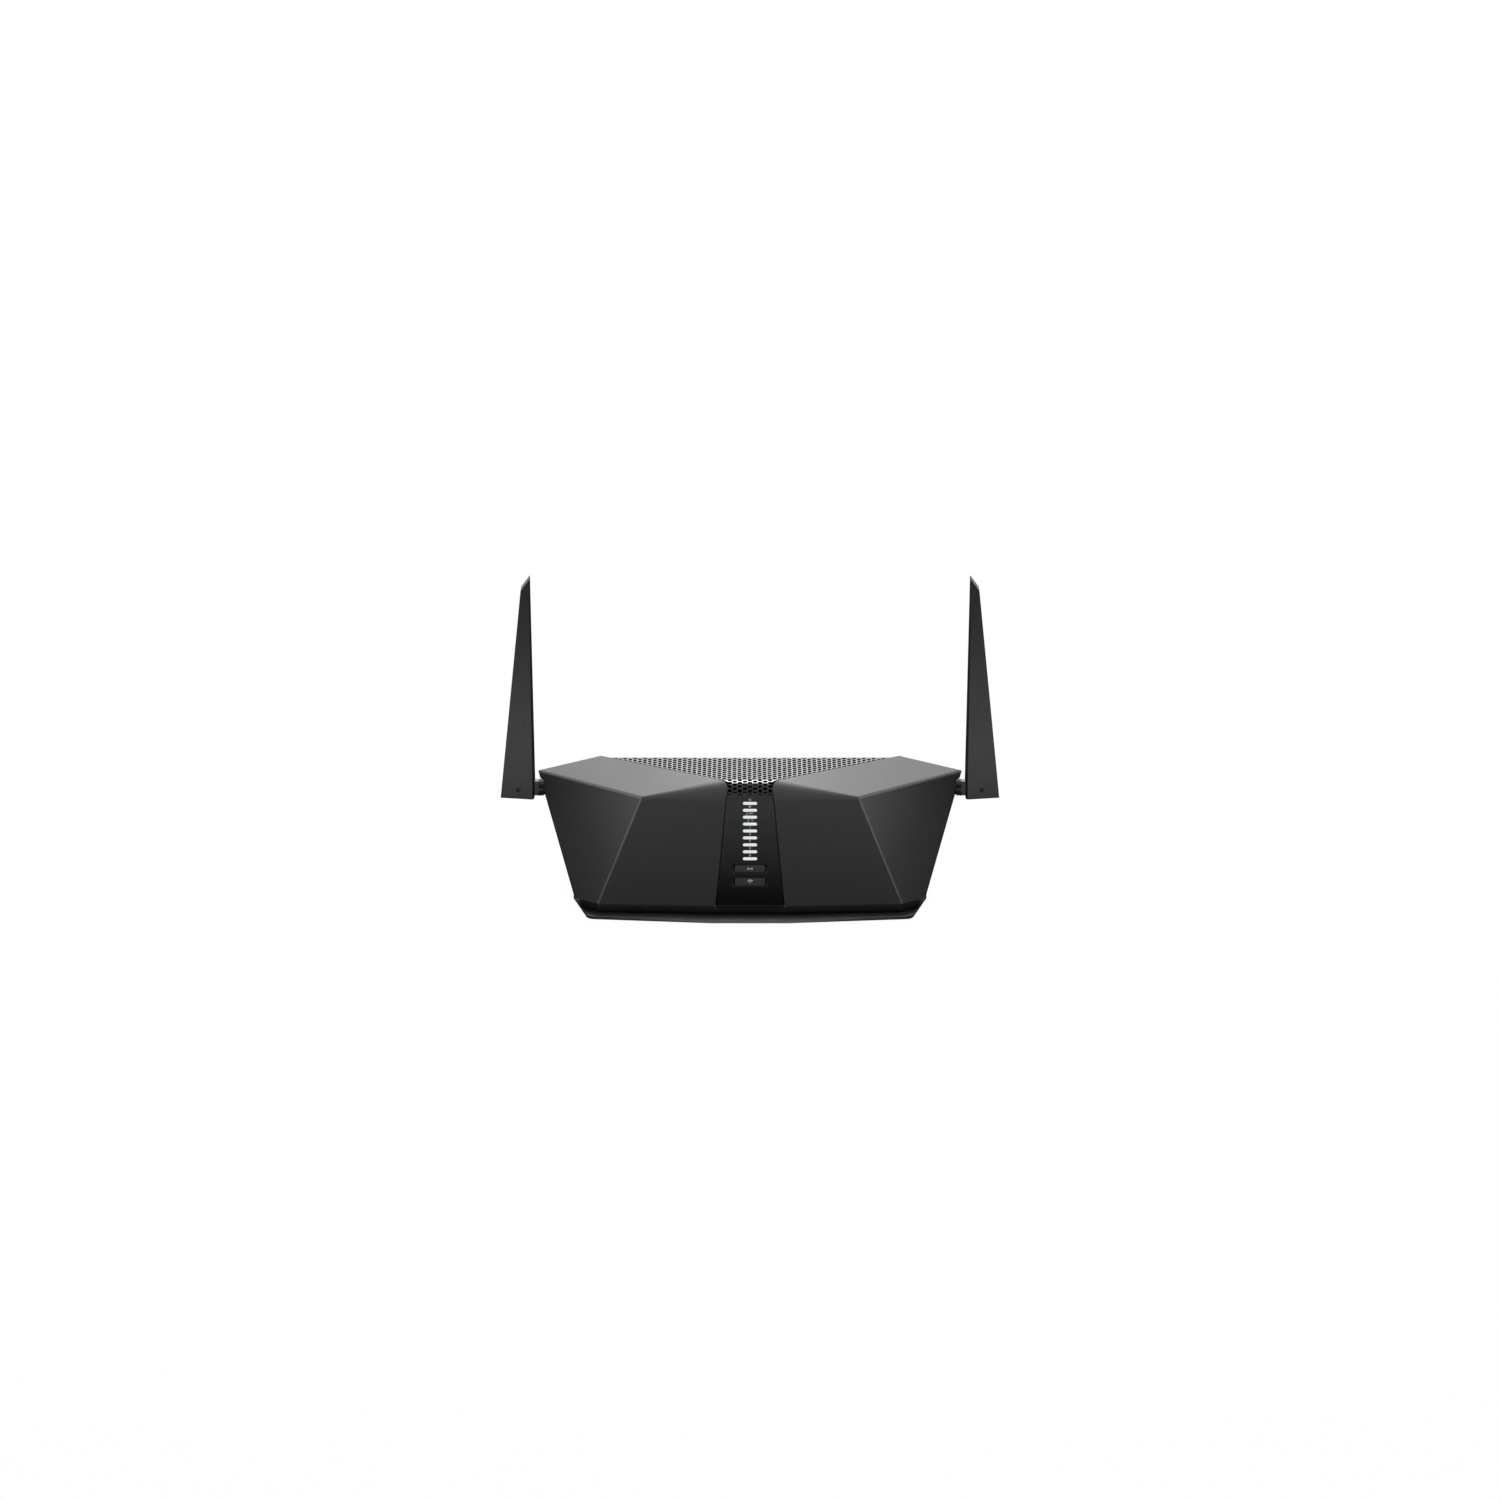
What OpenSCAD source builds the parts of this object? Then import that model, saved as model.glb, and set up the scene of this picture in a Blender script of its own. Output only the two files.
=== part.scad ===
// Faceted wireless node with a honeycomb vent, a sloped indicator panel and two folding blade antennas.
// Units are millimetres. +X is right, +Y is towards the sockets, +Z is up.
// The origin is on the supporting surface, below the middle of the overall box.

/* [Body] */
// Width across the two outermost top corners
body_w = 238.2; // [237.8:0.2:238.6]
// Height of the flat vent above the supporting surface
body_h = 58; // [57.5:0.5:58.5]
// Depth of the base plate, front tip to back edge
base_d = 116; // [115:1:117]
// Wall thickness of the moulded covers
wall = 2.2; // [2.1:0.1:2.3]
// Slope of the front panel, from horizontal
front_slope = 42; // [41.5:0.5:42.5]
// Fall of the wing tops, away from the vent
wing_drop = 11; // [10.5:0.5:11.5]

/* [Vent] */
// Distance between neighbouring vent cells
cell_step = 3.22; // [3.2:0.02:3.24]
// Width of a vent cell, across its flats
cell_w = 2.3; // [2.1:0.1:2.4]
// Thickness of the vent plate
vent_t = 1.8; // [1.6:0.1:1.8]

/* [Antennas] */
// Height of the antenna tips above the supporting surface
tip_z = 168.3; // [164.3:0.5:174.3]
// Width of a blade at its foot
blade_w = 19.3; // [19:0.1:19.6]
// Thickness of a blade, front to back
blade_t = 9; // [8.8:0.1:9.4]
// Diameter of the swivel stub
stub_d = 8.4; // [8.2:0.1:8.6]
// Diameter of the hinge pin
pin_d = 2.5; // [2.3:0.1:2.7]
// Radial running clearance in the swivel and the hinge
run_gap = 0.05; // [0.02:0.01:0.08]

/* [Panel] */
// Number of indicator bars
bars = 9; // [6:1:9]
// Distance between indicator bars, along the slope
bar_step = 4.25; // [4.15:0.05:4.3]
// Width of an indicator bar
bar_w = 7.9; // [7:0.1:8.6]
// Height of an indicator bar
bar_h = 1.9; // [1.7:0.1:2.1]
// Width of a front button
button_w = 16.4; // [15.8:0.1:16.8]
// Height of a front button, along the slope
button_h = 4.2; // [4:0.1:4.4]

/* [Sockets] */
// Distance between network sockets
lan_step = 17.5; // [17:0.1:17.8]
// Bore of the power inlet
inlet_d = 6.4; // [6.2:0.1:6.6]

/* [Hidden] */

$fn = 48;
BIG = 200;
ARC_STEPS = 14;
EDGE_PLANES = 5;
NOSE_STEPS = 8;

// Heights of the base, from the supporting surface up
foot_h = 1.5;
rim_t = 1.6;
rim_top = foot_h + rim_t;
cover_z = 8;

// Plan positions of the cover
front_y = -base_d / 2;
back_y = 52.3;
foot_y = -49.3;
panel_foot_x = 18.9;
panel_taper = 0.117;
spine_r = 19;
back_r = 4.3;
vent_end_y = back_y - back_r - 0.2;
v_angle = 30;
nose_r = 8;
corner_x = body_w / 2;
corner_y = 42.4;
foot_corner = [82.65, -46, cover_z];
side_foot_x = 96;
base_sweep = 3;
wing_r_in = 22;
wing_r_out = 2.5;

// The centre spine: where its slope meets the flat top, and where its rounding ends on the flat
ridge_y = foot_y + (body_h - cover_z) / tan(front_slope);
nose_y = ridge_y + spine_r * tan(front_slope / 2);
nose_x = 17.15;
corner_b_x = nose_x + (back_y - nose_y) / tan(v_angle);

// Direction in which each plane of the right wing faces, measured in plan
top_dir = -60;
front_dir = -90 + base_sweep;

function wing_top_z(x, y) =
    body_h - tan(wing_drop) * ((x - nose_x) * cos(top_dir) + (y - nose_y) * sin(top_dir));
function wing_front_z(x, y) =
    cover_z - tan(front_slope) * ((x - panel_foot_x) * cos(front_dir) + (y - foot_y) * sin(front_dir));

// Side slopes of the wing's top and front planes in a slice of constant x
wing_top_rise = -tan(wing_drop) * sin(top_dir);
wing_front_rise = -tan(front_slope) * sin(front_dir);
phi_top = atan(wing_top_rise);
phi_front = atan(wing_front_rise);

// The front edge of the wing's top, at a given x, for surfaces moved in by d
function wing_edge_y(x, d) =
    ((wing_top_z(x, 0) - d / cos(wing_drop)) - (wing_front_z(x, 0) - d / cos(front_slope)))
    / (wing_front_rise - wing_top_rise);

corner_c_x = 59.6;
corner_c = [corner_c_x, wing_edge_y(corner_c_x, 0), wing_top_z(corner_c_x, wing_edge_y(corner_c_x, 0))];
corner_a = [corner_x, corner_y, wing_top_z(corner_x, corner_y)];

function arc(cx, cy, r, a0, a1, n) =
    [for (i = [0:n]) let(a = a0 + (a1 - a0) * i / n) [cx + r * cos(a), cy + r * sin(a)]];
function unit(v) = v / norm(v);
function mirrored(pts) = [for (i = [len(pts) - 1:-1:0]) [-pts[i][0], pts[i][1]]];

// A point on the rounding of the wing's front edge: at x, with radius r, turned by phi from upright
function wing_edge_point(x, r, phi) =
    let(ey = wing_edge_y(x, 0), ez = wing_top_z(x, ey), reach = r * tan((phi_front - phi_top) / 2))
    [x, ey + reach * cos(phi_top) + r * sin(phi_top) - r * sin(phi),
        ez + reach * sin(phi_top) - r * cos(phi_top) + r * cos(phi)];

// Everything behind a plane through p that faces az in plan and is tilted from horizontal
module behind(p, az, tilt, d) {
    translate(p) rotate([0, 0, az]) rotate([0, tilt, 0])
        translate([-BIG, -BIG, -2 * BIG - d]) cube(2 * BIG);
}

side_n = unit(cross(foot_corner - corner_c, corner_a - corner_c));
side_lean = 90 + atan((corner_x - side_foot_x) / (corner_a[2] - cover_z));
shoulder_dir = atan2(corner_x - corner_b_x - 0.5, back_y - corner_y);

// Planes that touch the rounding, whose radius shrinks from wing_r_in at the panel to wing_r_out
module wing_edge_planes() {
    for (i = [1:EDGE_PLANES]) {
        phi = phi_top + (phi_front - phi_top) * i / (EDGE_PLANES + 1);
        p = wing_edge_point(panel_foot_x, wing_r_in, phi);
        q = wing_edge_point(corner_c_x, wing_r_out, phi);
        n = unit(cross(q - p, [0, cos(phi), sin(phi)]));
        difference() {
            translate([-1, -BIG / 2, -20]) cube([BIG, BIG, BIG / 2]);
            behind(p, atan2(n[1], n[0]), acos(n[2]), 0);
        }
    }
}

module wing(d, z0) {
    intersection() {
        behind([nose_x, nose_y, body_h], top_dir, wing_drop, d);
        behind([panel_foot_x, foot_y, cover_z], front_dir, front_slope, d);
        behind(corner_c, atan2(side_n[1], side_n[0]), acos(side_n[2]), d);
        behind(corner_a, 0, side_lean, d);
        behind(corner_a, shoulder_dir, 90, d);
        translate([-1, -BIG / 2, z0]) cube([BIG, BIG / 2 + back_y - d, body_h - d - z0]);
    }
}

// Side profile of the centre spine as [y, z] points, moved in by d
function spine_profile(d, z0) = concat(
    [[back_y - d, z0]],
    arc(back_y - back_r, body_h - back_r, back_r - d, 0, 90, ARC_STEPS),
    arc(nose_y, body_h - spine_r, spine_r - d, 90, 90 + front_slope, 2 * ARC_STEPS),
    [[foot_y + d / sin(front_slope) + (z0 - cover_z) / tan(front_slope), z0]]);

// Extrudes a [y, z] profile along X, centred
module along_x(w) {
    rotate([90, 0, 90]) translate([0, 0, -w / 2]) linear_extrude(w) children();
}

// Plan outline of the spine between the wings, moved out by g; its back edge is at y1
side_dir = [-panel_taper, 1] / norm([panel_taper, 1]);
v_dir = [cos(v_angle), sin(v_angle)];
function outline_x(y, g) = panel_foot_x - panel_taper * (y - foot_y) + g / side_dir[1];
function v_x(y, g) = nose_x + (y - nose_y) / tan(v_angle) + g / sin(v_angle);
function nose_corner_y(g) = (panel_foot_x + panel_taper * foot_y + g / side_dir[1] - nose_x
    + nose_y / tan(v_angle) - g / sin(v_angle)) / (panel_taper + 1 / tan(v_angle));
function spine_half(g, y1, y0) =
    let(cy = nose_corner_y(g), cx = outline_x(cy, g),
        turn = acos(side_dir * v_dir), r = nose_r + g, reach = r * tan(turn / 2),
        c = [cx, cy] - reach * side_dir + r * [side_dir[1], -side_dir[0]],
        start = 180 - atan2(side_dir[0], side_dir[1]))
    concat([[outline_x(y0, g), y0]], arc(c[0], c[1], r, start, start - turn, NOSE_STEPS),
        [[v_x(y1, g), y1]]);
function spine_outline(g, y1, y0) = concat(spine_half(g, y1, y0), mirrored(spine_half(g, y1, y0)));

module spine_column(g, y1 = vent_end_y, y0 = -70) {
    translate([0, 0, -20]) linear_extrude(BIG / 2) polygon(spine_outline(g, y1, y0));
}

// The whole cover shape, its surfaces moved in by d
module cover_shape(d, z0) {
    wing(d, z0);
    mirror([1, 0, 0]) wing(d, z0);
}

// Places children on the front slope: x across, y up the slope, z out of it, from the panel's foot
module on_slope(u = 0, w = 0) {
    translate([0, foot_y, cover_z]) rotate([front_slope, 0, 0]) translate([0, u, w]) children();
}

module both_sides() {
    children();
    mirror([1, 0, 0]) children();
}

module slot(w, h, t) {
    translate([-(w - h) / 2, 0, 0]) cylinder(d = h, h = t);
    translate([(w - h) / 2, 0, 0]) cylinder(d = h, h = t);
    translate([-(w - h) / 2, -h / 2, 0]) cube([w - h, h, t]);
}

// ---- Base ----

rim_front_x = 20.85;
rim_corner = [88, -51.85];
rim_side_x = 97;
rim_back_x = 97.6;
rim_corner_r = 5;

function rounded_rim(g) =
    let(a = [rim_front_x, front_y + g], b = rim_corner + [-g, g], c = [rim_side_x - g, -22],
        u = unit(a - b), v = unit(c - b), half = acos(u * v) / 2, reach = rim_corner_r / tan(half),
        m = b + unit(u + v) * rim_corner_r / sin(half),
        p = b + u * reach, q = b + v * reach,
        a0 = atan2(p[1] - m[1], p[0] - m[0]), a1 = atan2(q[1] - m[1], q[0] - m[0]))
    concat([a], arc(m[0], m[1], rim_corner_r, a0, a1, 8),
        [c, [rim_back_x - g, base_d / 2 - 6 - g], [rim_back_x - 6 - g, base_d / 2 - g]]);
function rim_outline(g) = concat(rounded_rim(g), mirrored(rounded_rim(g)));

boss_xy = [[66, -36], [89, 22]];
post_xy = [[62, -20], [74, 28]];
boss_d = 7;
boss_bore = 2.4;
tray_slots = 9;
tray_slot_step = 3.6;
tray_slot_w = 24;
tray_slot_x = 50;
foot_xy = [[78, -42], [86, 46]];
foot_d = 12;
plate_w = 62;
plate_h = 40;

module bottom_tray() {
    color([0.1, 0.1, 0.105])
    difference() {
        union() {
            translate([0, 0, foot_h]) linear_extrude(rim_t) polygon(rim_outline(0));
            both_sides() for (p = post_xy)
                translate([p[0], p[1], foot_h]) cylinder(d = 6, h = board_z - foot_h);
        }
        both_sides() {
            for (p = boss_xy) translate([p[0], p[1], 0]) {
                cylinder(d = 3.4, h = 10);
                cylinder(d = 6.4, h = foot_h + 0.7);
            }
            for (p = post_xy) translate([p[0], p[1], board_z - 6]) cylinder(d = 2.2, h = 8);
            for (p = foot_xy) translate([p[0], p[1], 0]) cylinder(d = foot_d + 0.2, h = foot_h + 0.5);
            for (i = [0:tray_slots - 1])
                translate([tray_slot_x, (i - (tray_slots - 1) / 2) * tray_slot_step, 0])
                    slot(tray_slot_w, 1.8, 8);
        }
        translate([-plate_w / 2 - 0.2, -plate_h / 2 - 0.2, 0])
            cube([plate_w + 0.4, plate_h + 0.4, foot_h + 0.4]);
    }
}

band_inset = 0.9;
band_t = 1.8;
band_corner_inset = 2;

// Plan outline of the cover's foot, moved in by g
side_foot_y = corner_a[1] + ((side_foot_x - corner_a[0]) * -side_n[0]
    + (cover_z - corner_a[2]) * -side_n[2]) / side_n[1];
function cover_foot_half(g) = [
    [panel_foot_x, foot_y + g],
    [foot_corner[0] - g * 0.3, foot_corner[1] + g],
    [side_foot_x - g - band_corner_inset, side_foot_y + g * 0.5],
    [side_foot_x - g, back_y - 3.4 - g * 0.6],
    [corner_b_x - g * 0.2, back_y - g]];
function cover_foot(g) = concat(cover_foot_half(g), mirrored(cover_foot_half(g)));

module vent_band() {
    color([0.06, 0.06, 0.065])
    translate([0, 0, rim_top]) linear_extrude(cover_z - rim_top) difference() {
        polygon(cover_foot(band_inset));
        polygon(cover_foot(band_inset + band_t));
    }
}

// ---- Cover ----

window = [-80, 80];
window_z = [cover_z + 2, 38];
swivel_y = 36;
swivel_z = 45;
pivot_x = 129.4;
boss_in_x = 102.3;
recess_x = 115.2;
collar_d = 9.6;
collar_t = 0.7;

module swivel_axis(x) {
    translate([x, swivel_y, swivel_z]) rotate([0, 90, 0]) children();
}

edge_clear = 0.05;

// What lies above the rounded back edge of the vent, between the wings
module above_back_edge() {
    c = [back_y - back_r, body_h - back_r];
    intersection() {
        along_x(2 * corner_b_x) polygon(concat(arc(c[0], c[1], back_r, 0, 90, ARC_STEPS),
            [[c[0], body_h + 5], [back_y + 5, body_h + 5], [back_y + 5, c[1]]]));
        spine_column(edge_clear, back_y + 4);
    }
}

// Ledge that carries the vent plate and the panel
module ledge() {
    intersection() {
        along_x(2 * corner_b_x) difference() {
            polygon(spine_profile(wall - 0.3, cover_z + 3));
            polygon(spine_profile(wall + 1.6, cover_z + 2));
        }
        difference() {
            spine_column(2, vent_end_y + 1.5);
            spine_column(-2.4, vent_end_y - 2.4, -80);
        }
    }
}

module top_cover() {
    color([0.13, 0.13, 0.135])
    difference() {
        union() {
            difference() {
                cover_shape(0, cover_z);
                wing_edge_planes();
                mirror([1, 0, 0]) wing_edge_planes();
                cover_shape(wall, cover_z - 10);
                above_back_edge();
                spine_column(edge_clear);
            }
            ledge();
            both_sides() intersection() {
                wing(0.6, rim_top + 0.1);
                union() {
                    for (p = boss_xy) translate([p[0], p[1], rim_top]) cylinder(d = boss_d, h = body_h);
                    swivel_axis(boss_in_x) cylinder(d = 14, h = 20);
                }
            }
        }
        both_sides() {
            for (p = boss_xy) translate([p[0], p[1], rim_top - 1]) cylinder(d = boss_bore, h = 14);
            swivel_axis(boss_in_x - 1) cylinder(d = stub_d + 2 * run_gap, h = 20);
            swivel_axis(recess_x) cylinder(d = collar_d + 1.2, h = 10);
        }
        translate([window[0], back_y - 6, window_z[0]])
            cube([window[1] - window[0], 10, window_z[1] - window_z[0]]);
    }
}

// Honeycomb cells: rows along X, neighbouring rows shifted by half a step
row_step = cell_step / 2;
col_step = cell_step * sqrt(3);
cell_r = cell_w / sqrt(3);
seam = 0.15;
v_len = (vent_end_y - nose_y) / sin(v_angle);
v_cells = floor((v_len - 2) / cell_step);

function hex(cx, cy) = [for (k = [0:5]) [cx + cell_r * cos(60 * k), cy + cell_r * sin(60 * k)]];

// Half cells that bite into the vent plate along the right-hand V edge
function v_notch(i) =
    let(c = [nose_x, nose_y] + (i + 0.75) * cell_step * v_dir + seam * [-sin(v_angle), cos(v_angle)])
    concat([c - v_dir * cell_w / 2], [for (a = [180, 120, 60]) c + cell_r * [cos(a), sin(a)]],
        [c + v_dir * cell_w / 2]);
function v_side() = concat([[v_x(nose_y, 0) - 0.2, nose_y]],
    [for (i = [0:v_cells - 1]) each v_notch(i)],
    [[v_x(vent_end_y, 0) - 2 * seam, vent_end_y - seam]]);
first_cell = [nose_x, nose_y] + 0.75 * cell_step * v_dir;
rows = floor((vent_end_y - first_cell[1] - cell_w / 2) / row_step);
function row_y(j) = first_cell[1] + j * row_step;
function row_edge(j) = nose_x + (row_y(j) - nose_y) / tan(v_angle) - cell_step * 0.8;
function row_cols(j) = [for (k = [-20:20]) let(x = first_cell[0] + j * col_step / 2 - k * col_step)
    if (abs(x) < row_edge(j)) x];

module vent_grille() {
    color([0.16, 0.16, 0.165])
    translate([0, 0, body_h - vent_t]) linear_extrude(vent_t) difference() {
        polygon(concat(v_side(), mirrored(v_side())));
        for (j = [0:rows]) for (x = row_cols(j)) polygon(hex(x, row_y(j)));
    }
}

// ---- Panel ----

panel_gap = 0.5;
panel_t = 1.8;
bar_first = 28.82;
bar_u = [for (i = [0:bars - 1]) bar_first + i * bar_step];
button_u = [22.6, 14.7];
recess_w = button_w + 2;
recess_h = button_h + 0.8;
arc_rows = 9;
through_rows = 7;
row_turn = row_step / spine_r * 180 / PI;

module front_panel() {
    color([0.02, 0.02, 0.022])
    difference() {
        intersection() {
            along_x(60) polygon(concat(
                [for (p = spine_profile(0, cover_z)) if (p[0] < nose_y + 0.01) p],
                [for (i = [2 * ARC_STEPS + 1:-1:0]) let(q = spine_inner(i)) q]));
            spine_column(-panel_gap, back_y);
        }
        for (u = bar_u) on_slope(u, -panel_t - 1) slot(bar_w, bar_h, panel_t + 2);
        for (u = button_u) {
            on_slope(u, -0.9) translate([-recess_w / 2, -recess_h / 2, 0]) cube([recess_w, recess_h, 3]);
            on_slope(u, -panel_t - 1) translate([-button_w / 2 - 0.3, -button_h / 2 - 0.3, 0])
                cube([button_w + 0.6, button_h + 0.6, panel_t + 2]);
        }
        // Vent cells that follow the rounding, the last rows only as shallow dimples
        for (j = [0:arc_rows - 1]) {
            n = 5 - j % 2;
            depth = j < through_rows ? panel_t + 1 : 0.7;
            translate([0, nose_y, body_h - spine_r]) rotate([(j + 0.7) * row_turn, 0, 0])
                for (k = [0:n - 1])
                    translate([(k - (n - 1) / 2) * col_step, 0, spine_r - depth])
                        linear_extrude(depth + 1) polygon(hex(0, 0));
        }
    }
}

// Inner side of the panel's own profile, from its foot up to its top edge
function spine_inner(i) = i == 2 * ARC_STEPS + 1
    ? [foot_y + panel_t / sin(front_slope), cover_z]
    : let(a = 90 + front_slope * i / (2 * ARC_STEPS))
        [nose_y + (spine_r - panel_t) * cos(a), body_h - spine_r + (spine_r - panel_t) * sin(a)];

board_w = 34;
board_low = 9;
board_high = 66;
board_depth = 9.5;
pcb_t = 1.6;

module light_guide() {
    color([0.95, 0.95, 0.97]) {
        for (u = bar_u) on_slope(u, -panel_t - 2) slot(bar_w - 0.2, bar_h - 0.2, panel_t + 1.9);
        on_slope(bar_first - 2, -panel_t - 2.6)
            translate([-bar_w / 2 - 1, 0, 0]) cube([bar_w + 2, bar_step * (bars - 1) + 4, 0.8]);
    }
}

module panel_board() {
    color([0.05, 0.25, 0.12])
    on_slope(board_low, -board_depth) translate([-board_w / 2 + 4, 0, -pcb_t])
        cube([board_w - 8, board_high - board_low, pcb_t]);
}

module panel_leds() {
    color([0.95, 0.93, 0.8])
    for (u = bar_u) on_slope(u, -board_depth) translate([-1.75, -0.8, 0]) cube([3.5, 1.6, 1.2]);
}

switch_h = 3.4;

module panel_switches() {
    color([0.75, 0.75, 0.76])
    for (u = button_u) on_slope(u, -board_depth) {
        translate([-3, -2, 0]) cube([6, 4, switch_h - 0.9]);
        cylinder(d = 2.4, h = switch_h);
    }
}

flange_t = 1;
flange_w = -panel_t - flange_t - 0.3;
press_gap = 1;

// A button cap with its rear flange and the plunger above its switch
module front_button(u) {
    on_slope(u, 0) {
        translate([-button_w / 2, -button_h / 2, flange_w]) cube([button_w, button_h, 0.1 - flange_w]);
        translate([-button_w / 2 - 1.2, -button_h / 2 - 0.8, flange_w])
            cube([button_w + 2.4, button_h + 1.6, flange_t]);
        translate([0, 0, -board_depth + switch_h + press_gap])
            cylinder(d = 3, h = board_depth - switch_h - press_gap + flange_w + 0.1);
    }
}

module wps_button() {
    color([0.16, 0.16, 0.17]) front_button(button_u[0]);
}

module wifi_button() {
    color([0.16, 0.16, 0.17]) front_button(button_u[1]);
}

// ---- Electronics ----

board_z = 11.4;
board_top = board_z + pcb_t;
board_x = 82;
board_y = [-26, 48];
socket_front = back_y - 0.3;

module main_board() {
    color([0.05, 0.25, 0.12])
    difference() {
        translate([-board_x, board_y[0], board_z])
            cube([2 * board_x, board_y[1] - board_y[0], pcb_t]);
        both_sides() for (p = post_xy) translate([p[0], p[1], board_z - 1]) cylinder(d = 2.6, h = 4);
        for (x = sink_screw_x) for (y = sink_screw_y)
            translate([x, y, board_z - 1]) cylinder(d = 2.6, h = 4);
    }
}

// Each chip: centre x, centre y, width, depth
chips = [[0, 11, 17, 17], [22, 13, 12, 12], [-22, 13, 12, 12], [8, -2, 13, 7]];
chip_t = 1.2;
pad_t = 0.8;

module main_chips() {
    color([0.08, 0.08, 0.08])
    for (c = chips) translate([c[0] - c[2] / 2, c[1] - c[3] / 2, board_top]) cube([c[2], c[3], chip_t]);
}

module thermal_pads() {
    color([0.55, 0.6, 0.68])
    for (c = chips) translate([c[0] - c[2] / 2, c[1] - c[3] / 2, board_top + chip_t])
        cube([c[2], c[3], pad_t]);
}

can_h = 3;
cans = [[52, -4, 22, 20], [-52, -4, 22, 20]];

module shield_cans() {
    color([0.75, 0.76, 0.78])
    for (c = cans) translate([c[0] - c[2] / 2, c[1] - c[3] / 2, board_top]) difference() {
        cube([c[2], c[3], can_h]);
        translate([0.4, 0.4, -1]) cube([c[2] - 0.8, c[3] - 0.8, can_h + 0.6]);
    }
}

sink_w = 76;
sink_y = [-8, 32];
sink_screw_x = [-34, 34];
sink_screw_y = [-4, 28];
sink_z = board_top + chip_t + pad_t;
fins = 16;
fin_t = 1.2;

module heatsink() {
    color([0.68, 0.69, 0.7])
    difference() {
        union() {
            translate([-sink_w / 2, sink_y[0], sink_z]) cube([sink_w, sink_y[1] - sink_y[0], 2]);
            for (i = [0:fins - 1])
                translate([-sink_w / 2 + i * (sink_w - fin_t) / (fins - 1), sink_y[0], sink_z + 1])
                    cube([fin_t, sink_y[1] - sink_y[0], 9]);
        }
        for (x = sink_screw_x) for (y = sink_screw_y) translate([x, y, sink_z - 1]) {
            cylinder(d = 2.6, h = 14);
            translate([0, 0, 3]) cylinder(d = 6.4, h = 12);
        }
    }
}

module screw(head_d, head_h, shank_d, shank_h) {
    difference() {
        cylinder(d = head_d, h = head_h);
        translate([0, 0, -0.01]) cylinder(d = head_d * 0.45, h = head_h * 0.6, $fn = 6);
    }
    translate([0, 0, head_h - 0.01]) cylinder(d = shank_d, h = shank_h);
}

module heatsink_screws() {
    color([0.6, 0.6, 0.62])
    for (x = sink_screw_x) for (y = sink_screw_y)
        translate([x, y, sink_z + 3.8]) mirror([0, 0, 1]) screw(4.6, 1.8, 2.4, 7);
}

module board_screws() {
    color([0.6, 0.6, 0.62])
    both_sides() for (p = post_xy)
        translate([p[0], p[1], board_top + 1.6]) mirror([0, 0, 1]) screw(5, 1.6, 2.16, 7);
}

// A point [y, z] beside the front slope: u up the slope, w out of it
function slope_point(u, w) = [foot_y + u * cos(front_slope) - w * sin(front_slope),
    cover_z + u * sin(front_slope) + w * cos(front_slope)];
ribbon_u = 32;

// Flat lead from a connector on the main board up to the panel board's rear face
module panel_ribbon() {
    p = slope_point(ribbon_u, -board_depth - pcb_t);
    q = slope_point(ribbon_u + 0.8, -board_depth - pcb_t);
    color([0.85, 0.85, 0.82]) {
        along_x(8) polygon([p, q, [q[0], board_top + 1], [p[0], board_top + 1]]);
        translate([-6, p[0] - 1.5, board_top]) cube([12, 3.6, 2.5]);
    }
}

// ---- Sockets ----

plate_t = 2;
plate_face = back_y - 0.5;
wan_x = -24;
usb_x = 71;
inlet_x = -62;
power_x = -47;
reset_x = -74;
LANS = 4;
function lan_x(i) = i * lan_step;
jack_w = 16;
jack_h = 13.4;
jack_d = 16;
usb_w = 13.3;
usb_h = 6;
inlet_w = 9.2;
inlet_h = 11.2;
inlet_z = board_top + 5.6;
button_z = board_top + 6.2;
cap_d = 7;
reset_d = 2;

module rear_plate() {
    gap = 0.15;
    color([0.09, 0.09, 0.095])
    difference() {
        translate([window[0] + gap, plate_face - plate_t, window_z[0] + gap])
            cube([window[1] - window[0] - 2 * gap, plate_t, window_z[1] - window_z[0] - 2 * gap]);
        for (x = concat([wan_x], [for (i = [0:LANS - 1]) lan_x(i)]))
            translate([x - jack_w / 2 - gap, back_y - 6, board_top - gap])
                cube([jack_w + 2 * gap, 10, jack_h + 2 * gap]);
        translate([usb_x - usb_w / 2 - gap, back_y - 6, board_top - gap])
            cube([usb_w + 2 * gap, 10, usb_h + 2 * gap]);
        translate([inlet_x - inlet_w / 2 - gap, back_y - 6, board_top - gap])
            cube([inlet_w + 2 * gap, 10, inlet_h + 2 * gap]);
        translate([power_x, back_y + 4, button_z]) rotate([90, 0, 0]) cylinder(d = cap_d + 0.8, h = 10);
        translate([reset_x, back_y + 4, button_z]) rotate([90, 0, 0]) cylinder(d = reset_d, h = 10);
    }
}

// A network jack: a box with a plug cavity and a latch notch above it
module jack() {
    depth = 12.5;
    translate([-jack_w / 2, socket_front - jack_d, board_top]) difference() {
        cube([jack_w, jack_d, jack_h]);
        translate([jack_w / 2 - 5.95, jack_d - depth, 2.2]) cube([11.9, depth + 1, 6.9]);
        translate([jack_w / 2 - 3.1, jack_d - depth, 9]) cube([6.2, depth + 1, 1.5]);
        translate([jack_w / 2 - 1.6, jack_d - depth, 10.4]) cube([3.2, depth + 1, 1.4]);
    }
}

module lan_jack(i) {
    color([0.12, 0.12, 0.13]) translate([lan_x(i), 0, 0]) jack();
}

module lan_jack_1() { lan_jack(0); }
module lan_jack_2() { lan_jack(1); }
module lan_jack_3() { lan_jack(2); }
module lan_jack_4() { lan_jack(3); }

module wan_jack() {
    color([0.75, 0.62, 0.1]) translate([wan_x, 0, 0]) jack();
}

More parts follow.
